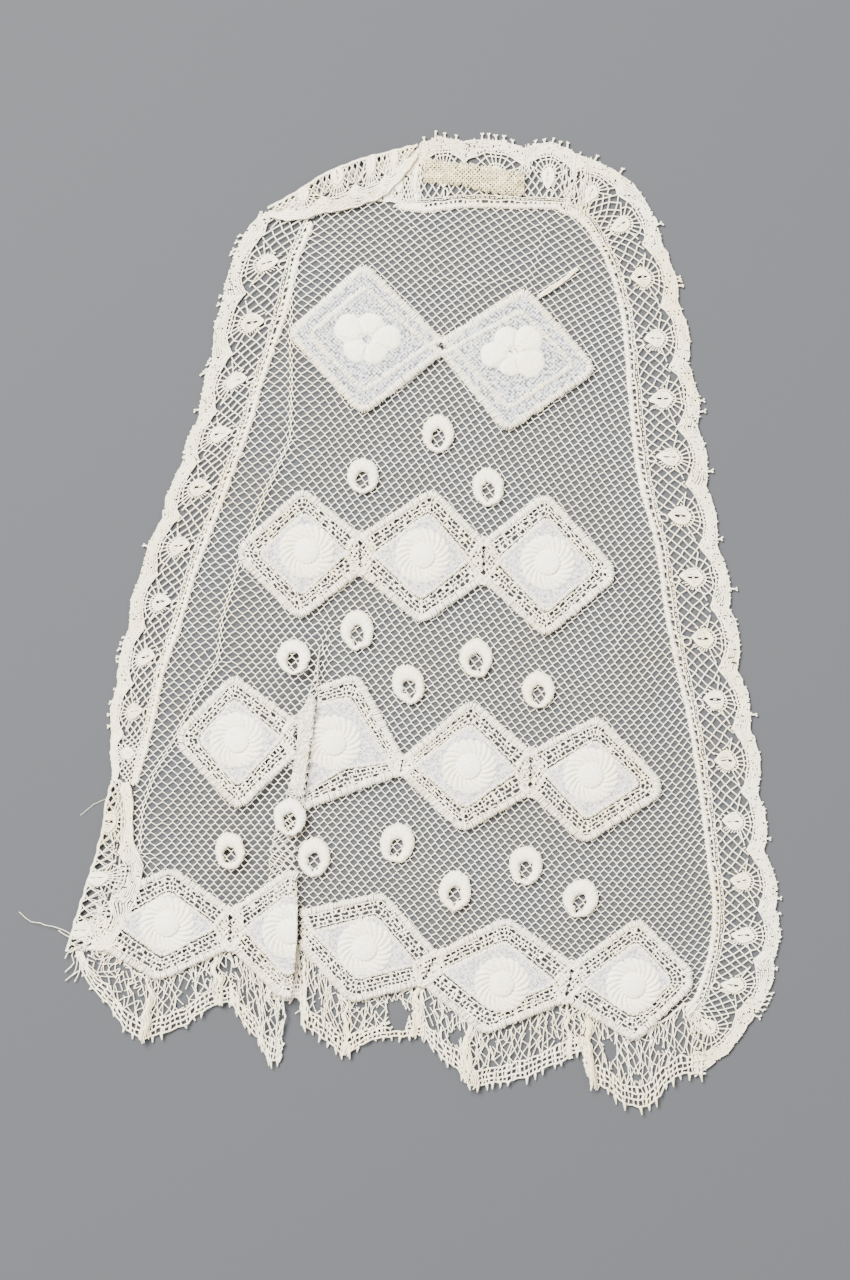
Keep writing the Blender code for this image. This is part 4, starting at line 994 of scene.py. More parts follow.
def band_runs(place, first, last, draw):
    """The heading beside the seam, the arc over the leaves, and the cloth-stitch band outside it."""
    runs = []
    for across, half_width in ((HEADING[0], 0.22), (HEADING[2], 0.15)):
        runs.append(thread(place, stretch(first, last, 1.4, lambda along: across), half_width))
    runs += dashed(place, stretch(first, last, 0.42, lambda along: HEADING[1]), 0.2)
    for i in range(round((last - first) / FOOTING_STEP)):
        along = first + FOOTING_STEP * (i + draw.uniform(0.3, 0.7))
        runs.append(thread(place, [(along, -0.3), (along + 0.2, HEADING[0])],
                           draw.uniform(0.3, 0.5)))
    runs.append(thread(place, stretch(first, last, 1.0, inner_arc), 0.24, 0.05))
    for i in range(BAND_THREADS):
        share = i / (BAND_THREADS - 1)
        points = stretch(first, last, 0.75, lambda along: blend(outer_arc(along), DEPTH, share))
        widths = [max(0.25, (DEPTH - outer_arc(along)) / (BAND_THREADS - 1) * 0.56)
                  for along, _ in points]
        runs += broken(place, points, widths, 0.12 * (i % 2), draw)
    return runs


def mesh_and_band(place, first, last, draw):
    """The open mesh round the leaves, and the bands on both sides of it."""
    runs = lattice(place, in_open_mesh, (last, MESH_END), MESH_STEP, MESH_YARN, (first, MESH_START))
    return runs + band_runs(place, first, last, draw)


def scallop_runs(place, start, first, draw):
    """What each scallop has of its own: the leaf, the holes under the band, and bumps outside it."""
    runs = leaf_runs(place, start)
    for i in range(ARC_HOLES):
        along = start + blend(ARC_END, REPEAT - ARC_END, i / (ARC_HOLES - 1))
        runs.append(thread(place, [(along, inner_arc(along)), (along, outer_arc(along))], 0.22))
    for i in range(round(REPEAT / BUMP_STEP)):
        along = start + BUMP_STEP * (i + draw.uniform(0.2, 0.8))
        reach = DEPTH + draw.uniform(0.25, 0.55)
        if along > first:
            runs.append(thread(place, [(along, DEPTH - 0.3), (along, reach)], [0.34, 0.22]))
    return runs


def of_piece(table, piece):
    """The rows of a table that are for one piece."""
    return [row for row in table if row["piece"] == piece]


def picot_runs(piece, place, draw):
    """Small forked knots on the outer edge, each on a short stalk."""
    runs = []
    for group in of_piece(PICOTS, piece):
        for i in range(group["count"]):
            share = blend(group["first"], group["last"], i / max(1, group["count"] - 1))
            along = REPEAT * (group["scallop"] + share) + draw.uniform(-0.25, 0.25)
            reach = DEPTH + PICOT * draw.uniform(0.8, 1.15)
            lean = draw.uniform(-0.3, 0.3)
            head = (along + lean, reach - 0.35)
            runs.append(thread(place, [(along, DEPTH - 0.3), head], [0.34, 0.28]))
            for side in (-1, 1):
                tip = (head[0] + side * draw.uniform(0.35, 0.6), reach + draw.uniform(-0.05, 0.2))
                runs.append(thread(place, [head, tip], [0.3, 0.26]))
    return runs


def shown_parts(run, shown):
    """The parts of a run whose points show."""
    parts, part = [], []
    for point in run:
        if shown(point[0], point[1]):
            part.append(point)
        else:
            parts.append(part)
            part = []
    parts.append(part)
    return [part for part in parts if len(part) > 1]


def edging_runs(piece, table, path, laps, draw):
    """A stretch of edging; its mesh and band run on under the next stretch by its two laps."""
    place = edging_place(table, path)
    first, last = -laps[0], (len(table) - 1) * REPEAT + laps[1]
    runs = mesh_and_band(place, first, last, draw)
    for k in range(len(table) - 1):
        runs += scallop_runs(place, k * REPEAT, first, draw)
    return runs + picot_runs(piece, place, draw)


# Tucks, where the edging is pressed together to turn a corner
TUCKS = rows(
    "piece top_x top_y foot_x foot_y width",
    ("edging_top", 1.2, 139.8, 1.4, 132.5, 0.9), ("edging_top", 31.2, 139.0, 29.4, 131.0, 1.4),
    ("edging_top", 43.6, 136.8, 41.8, 124.0, 1.9), ("edging_right", 47.4, 135.4, 46.2, 118.6, 1.4))
TUCK_THREADS = 5
TUCK_STEPS = 11
TUCK_RISE = 0.4
TUCK_WANDER = 0.9


def tuck_runs(piece, draw):
    """Threads side by side along each tuck, heaped in its middle."""
    runs = []
    for tuck in of_piece(TUCKS, piece):
        top, foot = Vector((tuck["top_x"], tuck["top_y"])), Vector((tuck["foot_x"], tuck["foot_y"]))
        side = Vector((foot.y - top.y, top.x - foot.x)).normalized()
        for i in range(TUCK_THREADS):
            share = i / (TUCK_THREADS - 1) * 2 - 1
            run = []
            for k in range(TUCK_STEPS + 1):
                spot = top.lerp(foot, k / TUCK_STEPS) + side * tuck["width"] * share
                spot += drift(spot.x, spot.y, 1, i * 3.0).to_2d() * TUCK_WANDER
                height = EDGE_HEIGHT + TUCK_RISE * math.sqrt(1 - 0.8 * share * share)
                run.append((spot.x, spot.y, height, draw.uniform(0.12, 0.28)))
            runs.append(run)
    return runs


lace_cotton = yarn_finish("lace_cotton", (0.96, 0.88, 0.7), (0.92, 0.79, 0.5), 0.8)
picot_draw = random.Random(7)
for edging_name, edging_table, edging_path, laps, edging_length in (
        ("edging_right", EDGE_RIGHT, CORD_RIGHT, (1.5, 1.5), 0.272),
        ("edging_left", EDGE_LEFT, CORD_LEFT, (-8.6, 7.0), 0.182),
        ("edging_top", EDGE_TOP, CORD_TOP, (2.0, 2.0), 0.062)):
    runs = edging_runs(edging_name, edging_table, edging_path, laps, picot_draw)
    if edging_name == "edging_left":
        runs = [part for run in runs for part in shown_parts(run, before_flap)]
    runs += tuck_runs(edging_name, picot_draw)
    edging = lay_yarn(f"{edging_name}_lace", runs, lace_cotton, sides=4, flatness=0.7)
    dressed(edging, "lace", edging_name)

# Folded edging: the same lace where it turns over itself, at the top left and the lower left. The
# fold is a soft round edge, and the flap lies on the net with its worn seam side free.
FOLD_AT = 4.6               # the pattern folds this far from its seam
FOLD_BEND = 0.12            # the share of each side that the bend takes
FOLD_THREADS = (-0.25, 0.1, 0.5, 1.0)   # from the fold, across the pattern
FREE_EDGE_DROPS = (0.35, 0.7, 1.05)     # threads under the flap's edge, which droops to the net
FLAP_SPAN = 2.5
FLAP_WANDER = 0.5
FLAP_LIFT = 0.15


def folded_place(table, row_length, before):
    """Places the pattern on folded edging: its outer part on the flap, the rest under the fold."""
    lines = list(zip(*(spots(table, f"{part}_x", f"{part}_y") for part in ("fold", "under", "flap"))))

    def place(point):
        along = (point.x + before) / row_length
        k = min(max(int(along), 0), len(lines) - 2)
        fold, under, flap = (a.lerp(b, along - k) for a, b in zip(lines[k], lines[k + 1]))
        if point.y >= FOLD_AT:
            side, up, share = flap, 1, (point.y - FOLD_AT) / (DEPTH - FOLD_AT)
        else:
            side, up, share = under, -1, (FOLD_AT - point.y) / FOLD_AT
        inward = (side - fold).normalized()
        reach = (side - fold).length - BEND
        bend = min(share / FOLD_BEND, 1.0) * math.pi / 2
        flat = max(share - FOLD_BEND, 0.0) / (1 - FOLD_BEND) * reach
        rise = BEND * math.sin(bend) * up
        spot = fold + inward * (BEND * (1 - math.cos(bend)) + flat)
        wander = drift(spot.x, spot.y, FLAP_SPAN, 5.0) * FLAP_WANDER
        return spot.x + wander.x, spot.y + wander.y, HALF + BEND + rise + FLAP_LIFT

    return place


def folded_runs(table, row_length, before, leaves, draw):
    """The edging's mesh, leaves and bands on both layers, and close threads along the fold."""
    place = folded_place(table, row_length, before)
    first, last = -before, (len(table) - 1) * row_length - before
    runs = mesh_and_band(place, first, last, draw)
    for k in leaves:
        runs += leaf_runs(place, k * REPEAT)
    for off in FOLD_THREADS:
        runs.append(thread(place, stretch(first, last, 0.9, lambda along: FOLD_AT + off), 0.26))
    for drop in FREE_EDGE_DROPS:
        runs.append(thread(place, stretch(first, last, 0.9, lambda along: DEPTH), 0.25, -drop))
    return runs


for fold_name, fold_table, row_length, before, leaves, fold_flat in (
        ("edging_top_left_fold", FOLD_TOP_LEFT, 8.5, 8.2, (0, 1, 2, 3), (0.021, 0.048)),
        ("edging_left_lower_fold", FOLD_LEFT_LOWER, 6.0, 3.1, (0, 1, 2), (0.017, 0.052))):
    runs = folded_runs(fold_table, row_length, before, leaves, picot_draw)
    folded = lay_yarn(f"{fold_name}_lace", runs, lace_cotton, sides=4, flatness=0.7)
    dressed(folded, "lace", fold_name)

# Neck tape: a worn strip of pale yellow cotton tape, in plain weave, sewn flat on the top edging.
# Its edges are frayed and it has rubbed through in places.
TAPE = rows(
    "x low high",
    (0.2, 128.2, 134.8), (6.0, 128.0, 134.2), (12.0, 127.2, 133.4), (18.0, 125.6, 133.0),
    (24.0, 124.8, 131.8), (29.6, 124.4, 130.6))
TAPE_MIDDLE = 1.75
TAPE_WALL = 0.45
TAPE_STEP = 0.5
TAPE_FRAY = 1.2
FRAY_RATE = 1.3
TAPE_LUMP = 0.5
LUMP_SPAN = 2.2
TAPE_DROOP = 0.7            # of its edges
TAPE_LINES = 18

tape_low_at = reader(TAPE, "x", "low")
tape_high_at = reader(TAPE, "x", "high")


def grid_cloth(name, grid, material, closed_round=True, caps=()):
    """A smooth mesh over lines of points, joined round if asked, with more faces for its caps."""
    across = len(grid[0])
    faces = []
    for i in range(len(grid) if closed_round else len(grid) - 1):
        here, there = i * across, (i + 1) % len(grid) * across
        faces += [(here + j, here + j + 1, there + j + 1, there + j) for j in range(across - 1)]
    mesh = bpy.data.meshes.new(name)
    mesh.from_pydata([Vector(point) * MM for line in grid for point in line], [], [*faces, *caps])
    mesh.materials.append(material)
    mesh.shade_smooth()
    return placed(name, mesh)


def shell(name, grid, wall, material, closed_round=False):
    """A thin closed shell of cloth over a grid of middle points, `wall` millimetres thick."""
    item = grid_cloth(name, grid, material, closed_round)
    thick = item.modifiers.new("thickness", "SOLIDIFY")
    thick.thickness = wall * MM
    thick.offset = 0.0
    return item


def tape_grid():
    """A lumpy strip over the lace under it, with frayed edges."""
    columns = round((TAPE[-1]["x"] - TAPE[0]["x"]) / TAPE_STEP)
    grid = []
    for i in range(columns + 1):
        x = blend(TAPE[0]["x"], TAPE[-1]["x"], i / columns)
        low = tape_low_at(x) + TAPE_FRAY * noise.noise(Vector((x * FRAY_RATE, 0.0, 4.0)))
        high = tape_high_at(x) - TAPE_FRAY * noise.noise(Vector((x * FRAY_RATE, 9.0, 4.0)))
        line = []
        for j in range(TAPE_LINES + 1):
            y = blend(low, high, j / TAPE_LINES)
            lump = ripple(x, y, LUMP_SPAN, 6.0) * TAPE_LUMP
            lump -= TAPE_DROOP * abs(2 * j / TAPE_LINES - 1) ** 4
            end = TAPE_LUMP * noise.noise(Vector((y, 0.0, 2.0)))
            line.append((x + end, y, TAPE_MIDDLE + lump))
        grid.append(line)
    return grid


def weave_finish(name, thread_size, light, dark, roughness, worn=0.0, even=0.22):
    """Plain weave with slubs; where it is worn, the spaces between its threads are open."""
    finish = Finish(name, roughness, 0.2)
    turns = math.pi / (thread_size * MM)
    split = finish.node("ShaderNodeSeparateXYZ", {}, {0: finish.place})
    along = Field(finish, split.socket.node.outputs["X"])
    across = Field(finish, split.socket.node.outputs["Y"])
    wobble = (finish.mottle(1.6) - 0.5) * 3.0
    weave = (along * turns + wobble).wave() * (across * turns + wobble).wave()
    slubs = finish.mottle(0.8, 4.0)
    relief = weave * even + slubs
    colour = finish.ramp(relief, ((0.34, dark), (0.62, light)))
    if worn:
        thin = finish.mottle(2.4) * 0.5 + weave * 0.3
        solid = finish.ramp(thin, ((worn, (1.0, 1.0, 1.0)), (worn + 0.04, (0.0, 0.0, 0.0))))
        finish.feed(finish.shader.inputs["Alpha"], solid)
    return finish.surface(colour, relief, 0.15)


tape_weave = weave_finish("tape_weave", 0.62, (0.96, 0.86, 0.5), (0.42, 0.34, 0.17), 0.85, 0.31)
tape = shell("neck_tape_cloth", tape_grid(), TAPE_WALL, tape_weave)
dressed(tape, "tape", "neck_tape")

# Lozenges: fourteen pieces of white lawn applied on the net in four rows. A thick satin-stitched
# cord covers the raw edge; inside it are a band of drawn-work, a thinner cord and a padded motif.
LAWN_IN_TOP = 7.8           # from the outline's corners to those of the lawn
LAWN_IN_SIDE = 6.4
LAWN_IN_JOINED = 3.9        # nearer where two lozenges' bands cross
LEFT_OUT_OF_SIGHT = 30.0    # a left side longer than this lies under the pleat
CORNER_ROUND = 1.3
CORNER_STEP = 1.5           # corners are softened within about this distance
LOZENGE_GAP = 0.35
LAWN_HEIGHT = 0.75          # middle of the lawn above the lozenge's underside
LAWN_WALL = 0.3
LAWN_RINGS = 9
LAWN_SPOKES = 72
LAWN_STEP = 0.5             # between the points of its edge
LAWN_WAVE = 0.12            # up and down, over about LAWN_WAVE_SPAN
LAWN_WAVE_SPAN = 5
OUTER_CORD = dict(share=0.17, half_width=0.92, rise=0.9)
INNER_CORD = dict(share=1.0, half_width=0.52, rise=0.75)
WIDE_CORD = dict(share=0.17, half_width=1.05, rise=0.9)
FLOWER_CORD = dict(share=0.92, half_width=0.78, rise=1.0)
WORN_CORD = dict(share=0.12, half_width=0.5, rise=0.5)
CORD_FOOT = 0.3             # a cord's stitches start this far above the lozenge's underside
SATIN_STITCH = 0.46         # from one stitch of a cord to the next
SATIN_YARN = 0.27
SATIN_LEAN = 0.12
DRAWN_LINES = (0.33, 0.5, 0.66, 0.84)
DRAWN_STEP = 1.3
DRAWN_YARN = 0.17
DRAWN_SPACE = 0.6           # between the points of a line
DRAWN_SHAKE = 0.6
DRAWN_RISE = 0.7            # above the lozenge's underside
BAR_RISE = 0.66
CORNER_SPAN = 3.0           # bars this near a corner are close together
CORNER_BAR = 2.2
BAR_WIDTHS = (0.9, 1.0, 1.2, 1.5, 2.4)
SWIRL_PETALS = 21
SWIRL_REACH = 8.1
SWIRL_LEAN = 0.5            # how far the petals sweep round, in radians
DISC_REACH = 3.5
DISC_RINGS = (0.06, 0.35, 0.6, 0.8, 0.93, 0.999, 1.03)      # close where the disc's edge drops
PETAL_RINGS = (0.12, 0.25, 0.42, 0.6, 0.76, 0.88, 0.96, 1.0)
MOTIF_SINKS = 0.1           # a motif's edge goes this far into the lawn
SMALLEST_SHEET = 10.0
SMALLEST_SHARE = 0.31       # of its own rectangle
CURL_POINTS = 6
# Curls on the lozenge that is pressed in the fold: `rise` is above the lawn
FLUFF = dict(count=150, rise=0.4, step=0.45, half_width=0.13)


def toward(point, goal, distance):
    return point + (goal - point).normalized() * distance


def lozenge_loops(row):
    """Twelve points round the outline and round the lawn, two at each corner and one at each side."""
    top, left_high, left_low, bottom, right_low, right_high, motif = (
        Vector(row[key]) for key in (*CORNERS, "motif"))
    left, right = (left_high + left_low) / 2, (right_high + right_low) / 2
    outline = [
        toward(top, left_high, CORNER_ROUND), (top + left_high) / 2, left_high,
        left_low, (left_low + bottom) / 2, toward(bottom, left_low, CORNER_ROUND),
        toward(bottom, right_low, CORNER_ROUND), (bottom + right_low) / 2, right_low,
        right_high, (right_high + top) / 2, toward(top, right_high, CORNER_ROUND)]
    joined = row["joined"].split()
    in_left, in_right = (LAWN_IN_JOINED if side in joined else LAWN_IN_SIDE
                         for side in ("left", "right"))
    lawn_corners = [[toward(top, motif, LAWN_IN_TOP)] * 2, [toward(left, motif, in_left)] * 2,
                    [toward(bottom, motif, LAWN_IN_TOP)] * 2, [toward(right, motif, in_right)] * 2]
    if (left_high - left_low).length > LEFT_OUT_OF_SIGHT:
        lawn_corners[1] = [toward(corner, motif, LAWN_IN_SIDE) for corner in (left_high, left_low)]
    lawn = []
    for i, (enter, leave) in enumerate(lawn_corners):
        after = lawn_corners[(i + 1) % 4][0]
        lawn.append(toward(enter, lawn_corners[i - 1][1], CORNER_ROUND / 2))
        lawn.append(toward(leave, after, CORNER_ROUND / 2))
        lawn.append((leave + after) / 2)
    return outline, lawn[1:] + lawn[:1]


def rounded(line, closed=True, rounds=2):
    """The line with its corners cut off again and again, which leaves them soft."""
    line = even_points(line + line[:1] if closed else line, CORNER_STEP)
    for _ in range(rounds):
        cut = [] if closed else line[:1]
        for a, b in zip(line, line[1:]):
            cut += [a.lerp(b, 0.25), a.lerp(b, 0.75)]
        line = cut + cut[:1] if closed else cut + line[-1:]
    return line


def lozenge_base(row):
    """The height of a lozenge's underside over any point."""
    def base(x, y):
        return (over_height(x, y) if row["over"] else HALF) + HALF + LOZENGE_GAP
    return base


def kept_runs(row, run):
    """The parts of a run that show beside the pleat or the flap."""
    return shown_parts(run, lambda x, y: keep_side(row, x, y)) if row["cut"] else [run]


def band_lines(row, outline, lawn, share):
    """Lines `share` of the way from outline to lawn: closed, or crossing over at joined corners.

    There the upper band runs on into the neighbour's lower one, so its lines meet the boundary in
    turn from its high to its low end, and the lower band's lines the other way.
    """
    loop = [a.lerp(b, share) for a, b in zip(outline, lawn)]
    joined = row["joined"].split()
    left_high, left_low = outline[2], outline[3]
    right_low, right_high = outline[8], outline[9]
    upper = [right_high.lerp(right_low, share), *loop[9:12], *loop[0:3],
             left_high.lerp(left_low, share)]
    lower = [left_low.lerp(left_high, share), *loop[3:9], right_low.lerp(right_high, share)]
    if not joined:
        return [rounded(loop)]
    if "left" not in joined:
        return [rounded(upper[:-1] + lower[1:], False)]
    if "right" not in joined:
        return [rounded(lower[:-1] + upper[1:], False)]
    return [rounded(upper, False), rounded(lower, False)]


def satin_cord(row, lines, cord, base, draw):
    """Satin stitches over every line of a cord, where it shows."""
    runs = []
    for line in lines:
        path = even_points(line, SATIN_STITCH)
        path = [point for point in path if keep_side(row, point.x, point.y)]
        if len(path) > 2:
            runs += stitched(path, cord["half_width"], lambda x, y: base(x, y) + CORD_FOOT,
                             cord["rise"], SATIN_YARN, SATIN_LEAN, draw)
    return runs


def drawn_work(row, outline, lawn, base, draw):
    """Threads left in the lawn: lines along the band and uneven bars across it, close at corners."""
    bands = [[even_points(line, DRAWN_SPACE) for line in band_lines(row, outline, lawn, share)]
             for share in DRAWN_LINES]
    runs = []
    for i, lines in enumerate(bands):
        for line in lines:
            run = []
            for point in line:
                shake = noise.noise(Vector((point.x * 1.3, point.y * 1.3, i * 5.0)))
                spot = point + (Vector(row["motif"]) - point).normalized() * shake * DRAWN_SHAKE
                run.append((spot.x, spot.y, base(spot.x, spot.y) + DRAWN_RISE,
                            DRAWN_YARN * (1.15 + 0.8 * shake)))
            runs += kept_runs(row, run)
    for outer_lines, inner_lines in zip(bands, bands[1:]):
        for outer, inner in zip(outer_lines, inner_lines):
            bars = round(len(outer) * DRAWN_SPACE / DRAWN_STEP)
            for k in range(bars):
                share = min(max(k + draw.uniform(-0.45, 0.45), 0.0), bars) / bars
                a = outer[int(share * (len(outer) - 1))]
                b = nearest_on(inner, a + (a - outer[0]).normalized() * draw.uniform(-0.3, 0.3))
                corner = min((a - Vector(row[key])).length for key in CORNERS)
                wide = DRAWN_YARN * (CORNER_BAR if corner < CORNER_SPAN else draw.choice(BAR_WIDTHS))
                runs += kept_runs(row, [(a.x, a.y, base(a.x, a.y) + BAR_RISE, wide),
                                        (b.x, b.y, base(b.x, b.y) + BAR_RISE, wide)])
    return runs


def clamped(row, x, y):
    """The point, or the nearest one that shows beside the pleat or the flap."""
    if keep_side(row, x, y):
        return x, y
    return (flap_x_at(y) if row["cut"] == "right_of_flap" else fold_x_at(y)) - CUT_CLEAR, y


def lawn_grid(row, edge, base):
    """A slightly wavy cloth from the middle out to the edge loop."""
    middle = Vector(row["motif"])
    loop = even_points(edge, LAWN_STEP)
    grid = []
    for k in range(LAWN_SPOKES):
        out = loop[int(k / LAWN_SPOKES * (len(loop) - 1))]
        line = []
        for i in range(LAWN_RINGS + 1):
            spot = middle.lerp(out, max(i / LAWN_RINGS, 0.01))
            x, y = clamped(row, spot.x, spot.y)
            wave = LAWN_WAVE * ripple(x, y, LAWN_WAVE_SPAN, 7.0)
            line.append((x, y, base(x, y) + LAWN_HEIGHT + wave))
        grid.append(line)
    return grid


def relief(name, row, base, section, spokes, material):
    """A padded motif on a polar grid: its section gives distances, leans and heights at a turn."""
    middle = Vector(row["motif"])
    grid = []
    for k in range(spokes):
        turn = 2 * math.pi * k / spokes
        line = []
        for distance, lean, height in section(row["name"], turn):
            x, y = clamped(row, middle.x + math.cos(turn + lean) * distance,
                           middle.y + math.sin(turn + lean) * distance)
            line.append((x, y, base(x, y) + LAWN_HEIGHT + height))
        x, y, _ = line[-1]
        line.append((x, y, base(x, y) + LAWN_HEIGHT - MOTIF_SINKS))
        grid.append(line)
    across = len(grid[0])
    caps = ([k * across for k in range(spokes)],
            [k * across + across - 1 for k in range(spokes)][::-1])
    return grid_cloth(name, grid, material, True, caps)


def swirl_section(_, turn):
    """A domed disc, and twenty-one padded petals that sweep out from it."""
    wave = abs(math.sin(SWIRL_PETALS * turn / 2))
    reach = SWIRL_REACH * (0.93 + 0.07 * wave)
    disc = [DISC_REACH * share for share in DISC_RINGS]
    for distance in disc + [blend(DISC_REACH, reach, share) for share in PETAL_RINGS]:
        run = (distance - DISC_REACH) / (SWIRL_REACH - DISC_REACH)
        if distance < DISC_REACH:
            height = 0.45 + 0.9 * math.sqrt(1 - 0.85 * (distance / DISC_REACH) ** 2)
        else:
            height = 0.05 + 0.95 * wave ** 0.6 * math.sin(math.pi * min(run, 1.0)) ** 0.5
        yield distance, SWIRL_LEAN * max(0.0, run), height


FLOWERS = rows(
    "piece turn reach",
    ("lozenge_1_left", 75.0, 7.9), ("lozenge_1_left", 149.0, 10.3), ("lozenge_1_left", 225.0, 7.9),
    ("lozenge_1_left", 303.0, 7.8), ("lozenge_1_left", 360.0, 10.0),
    ("lozenge_1_right", 43.0, 9.5), ("lozenge_1_right", 118.0, 8.0),
    ("lozenge_1_right", 187.0, 9.7), ("lozenge_1_right", 255.0, 7.0),
    ("lozenge_1_right", 325.0, 9.9))
FLOWER_EYE = 0.17           # the share of a petal's reach at which it starts
FLOWER_RINGS = 14
PETAL_NECK = 0.7            # the share of it that the grooves between petals cut back to


def flower_section(name, turn):
    """Rounded petals in satin stitch, padded high, with grooves between them."""
    degrees = math.degrees(turn) % 360

    def off(petal):
        return abs((degrees - petal["turn"] + 180) % 360 - 180)

    near, following = sorted(of_piece(FLOWERS, name), key=off)[:2]
    lobe = (off(following) - off(near)) / (off(following) + off(near))
    groove = PETAL_NECK * (near["reach"] + following["reach"]) / 2
    reach = blend(groove, near["reach"], math.sqrt(min(1.0, lobe * 1.5)))
    for i in range(FLOWER_RINGS + 1):
        distance = reach * blend(FLOWER_EYE, 1.0, i / FLOWER_RINGS)
        share = distance / reach
        edge = math.sqrt(max(0.0, 1 - share ** 4)) * ease((share - FLOWER_EYE) / 0.15 + 0.2)
        stitches = 0.05 * math.sin(distance * 2 * math.pi / 0.8)
        yield distance, 0.0, 0.05 + (min(1.0, 0.3 + lobe * 1.8) + stitches) * edge


def curl(spot, height, step, half_width, draw):
    """A short curl of loose cotton."""
    run = []
    turn = draw.uniform(0.0, 2 * math.pi)
    for _ in range(CURL_POINTS):
        run.append((spot.x, spot.y, height + draw.uniform(-0.25, 0.25), half_width))
        turn += draw.uniform(-0.8, 0.8)
        spot = spot + Vector((math.cos(turn), math.sin(turn))) * step
    return run


def fluff(outline, base, draw):
    """Curls close together over the worn, pressed lozenge on the pleat's fold."""
    xs, ys = [point.x for point in outline], [point.y for point in outline]
    runs = []
    while len(runs) < FLUFF["count"]:
        spot = Vector((draw.uniform(min(xs), max(xs)), draw.uniform(min(ys), max(ys))))
        if inside_loop(outline, spot.x, spot.y):
            height = base(spot.x, spot.y) + LAWN_HEIGHT + FLUFF["rise"]
            runs.append(curl(spot, height, FLUFF["step"], FLUFF["half_width"], draw))
    return runs


lawn_weave = weave_finish("lawn_weave", 0.4, (0.76, 0.74, 0.7), (0.2, 0.19, 0.18), 0.8)
thick_weave = weave_finish("thick_weave", 0.62, (0.62, 0.62, 0.61), (0.07, 0.07, 0.07), 0.8, even=0.1)
worn_weave = weave_finish("worn_weave", 0.4, (0.96, 0.89, 0.74), (0.42, 0.36, 0.26), 0.85)
satin_cotton = yarn_finish("satin_cotton", (0.97, 0.9, 0.74), (0.94, 0.84, 0.62), 0.6)
drawn_draw = random.Random(21)
KINDS = {
    "swirl": dict(cords=(OUTER_CORD, INNER_CORD), lawn=0.97, weave=lawn_weave,
                  section=swirl_section, spokes=SWIRL_PETALS * 8),
    "flower": dict(cords=(WIDE_CORD, FLOWER_CORD), lawn=0.12, weave=thick_weave,
                   section=flower_section, spokes=96),
    "plain": dict(cords=(WORN_CORD,), lawn=0.1, weave=worn_weave, section=None, spokes=0)}
for lozenge in LOZENGES:
    name, kind = lozenge["name"], lozenge["kind"]
    look = KINDS[kind]
    outline, lawn = lozenge_loops(lozenge)
    base = lozenge_base(lozenge)
    cords = []
    for cord in look["cords"]:
        lines = band_lines(lozenge, outline, lawn, cord["share"])
        cords += satin_cord(lozenge, lines, cord, base, drawn_draw)
    if kind == "plain":
        cords += fluff(outline, base, drawn_draw)
    pieces = [dressed(lay_yarn(f"{name}_cords", cords, satin_cotton), "stitch")]
    if kind == "swirl":
        bars = drawn_work(lozenge, outline, lawn, base, drawn_draw)
        bars = lay_yarn(f"{name}_drawn_work", bars, lace_cotton, sides=4, flatness=0.7)
        pieces.append(dressed(bars, "lawn"))
    if look["section"]:
        padded = relief(f"{name}_{kind}", lozenge, base, look["section"], look["spokes"],
                        satin_cotton)
        pieces.append(dressed(padded, "stitch"))
    edge = rounded([a.lerp(b, look["lawn"]) for a, b in zip(outline, lawn)])
    cloth = shell(f"{name}_lawn", lawn_grid(lozenge, edge, base), LAWN_WALL, look["weave"], True)
    dressed(cloth, "lawn", name)
    shown = [Vector(clamped(lozenge, point.x, point.y)) for point in edge]
    xs, ys = [point.x for point in shown], [point.y for point in shown]
    lawn_flat = (max(max(xs) - min(xs), SMALLEST_SHEET) * MM, (max(ys) - min(ys)) * MM)
    lawn_area = abs(sum(a.x * b.y - b.x * a.y for a, b in zip(shown, shown[1:]))) / 2
    max(lawn_area * MM * MM, SMALLEST_SHARE * lawn_flat[0] * lawn_flat[1])

# Eyelet rings: fifteen small holes pierced in the net and overcast with close satin stitch, which
# makes an egg-shaped ring with the hole low in it.
RINGS = rows(
    "x y half_width half_height lean over",
    (4.5, 55.4, 4.6, 5.6, 0.0, False), (-17.3, 43.2, 4.6, 5.2, 0.0, False),
    (19.0, 40.0, 4.6, 5.6, 5.0, False), (-37.3, -9.2, 4.9, 5.0, 0.0, True),
    (-18.9, -1.5, 4.8, 5.8, 0.0, False), (-4.1, -17.2, 4.6, 5.9, 16.0, False),
    (15.5, -9.6, 4.7, 5.6, 0.0, False), (33.5, -18.7, 4.8, 5.4, 0.0, False),
    (-55.7, -65.4, 4.3, 5.6, 0.0, True), (-38.4, -55.5, 4.7, 5.4, 0.0, True),
    (-31.4, -67.3, 4.7, 5.8, 0.0, False), (-7.3, -63.2, 5.1, 5.8, -8.0, False),
    (9.4, -77.0, 4.8, 5.9, -4.0, False), (29.9, -69.6, 4.8, 5.7, 0.0, False),
    (45.8, -79.2, 5.1, 5.7, -16.0, False))
HOLE_HALF_WIDTH = 2.1
HOLE_HALF_HEIGHT = 2.9
HOLE_LOWER = 1.3
RING_STITCHES = 54
RING_SECTION = rows(
    "share height", (0.0, -0.5), (0.02, 0.25), (0.2, 0.75), (0.5, 1.0), (0.8, 0.8), (1.0, 0.3),
    (1.02, -0.4))
RING_YARN = 0.33
RING_SINKS = 0.1            # below the lozenges


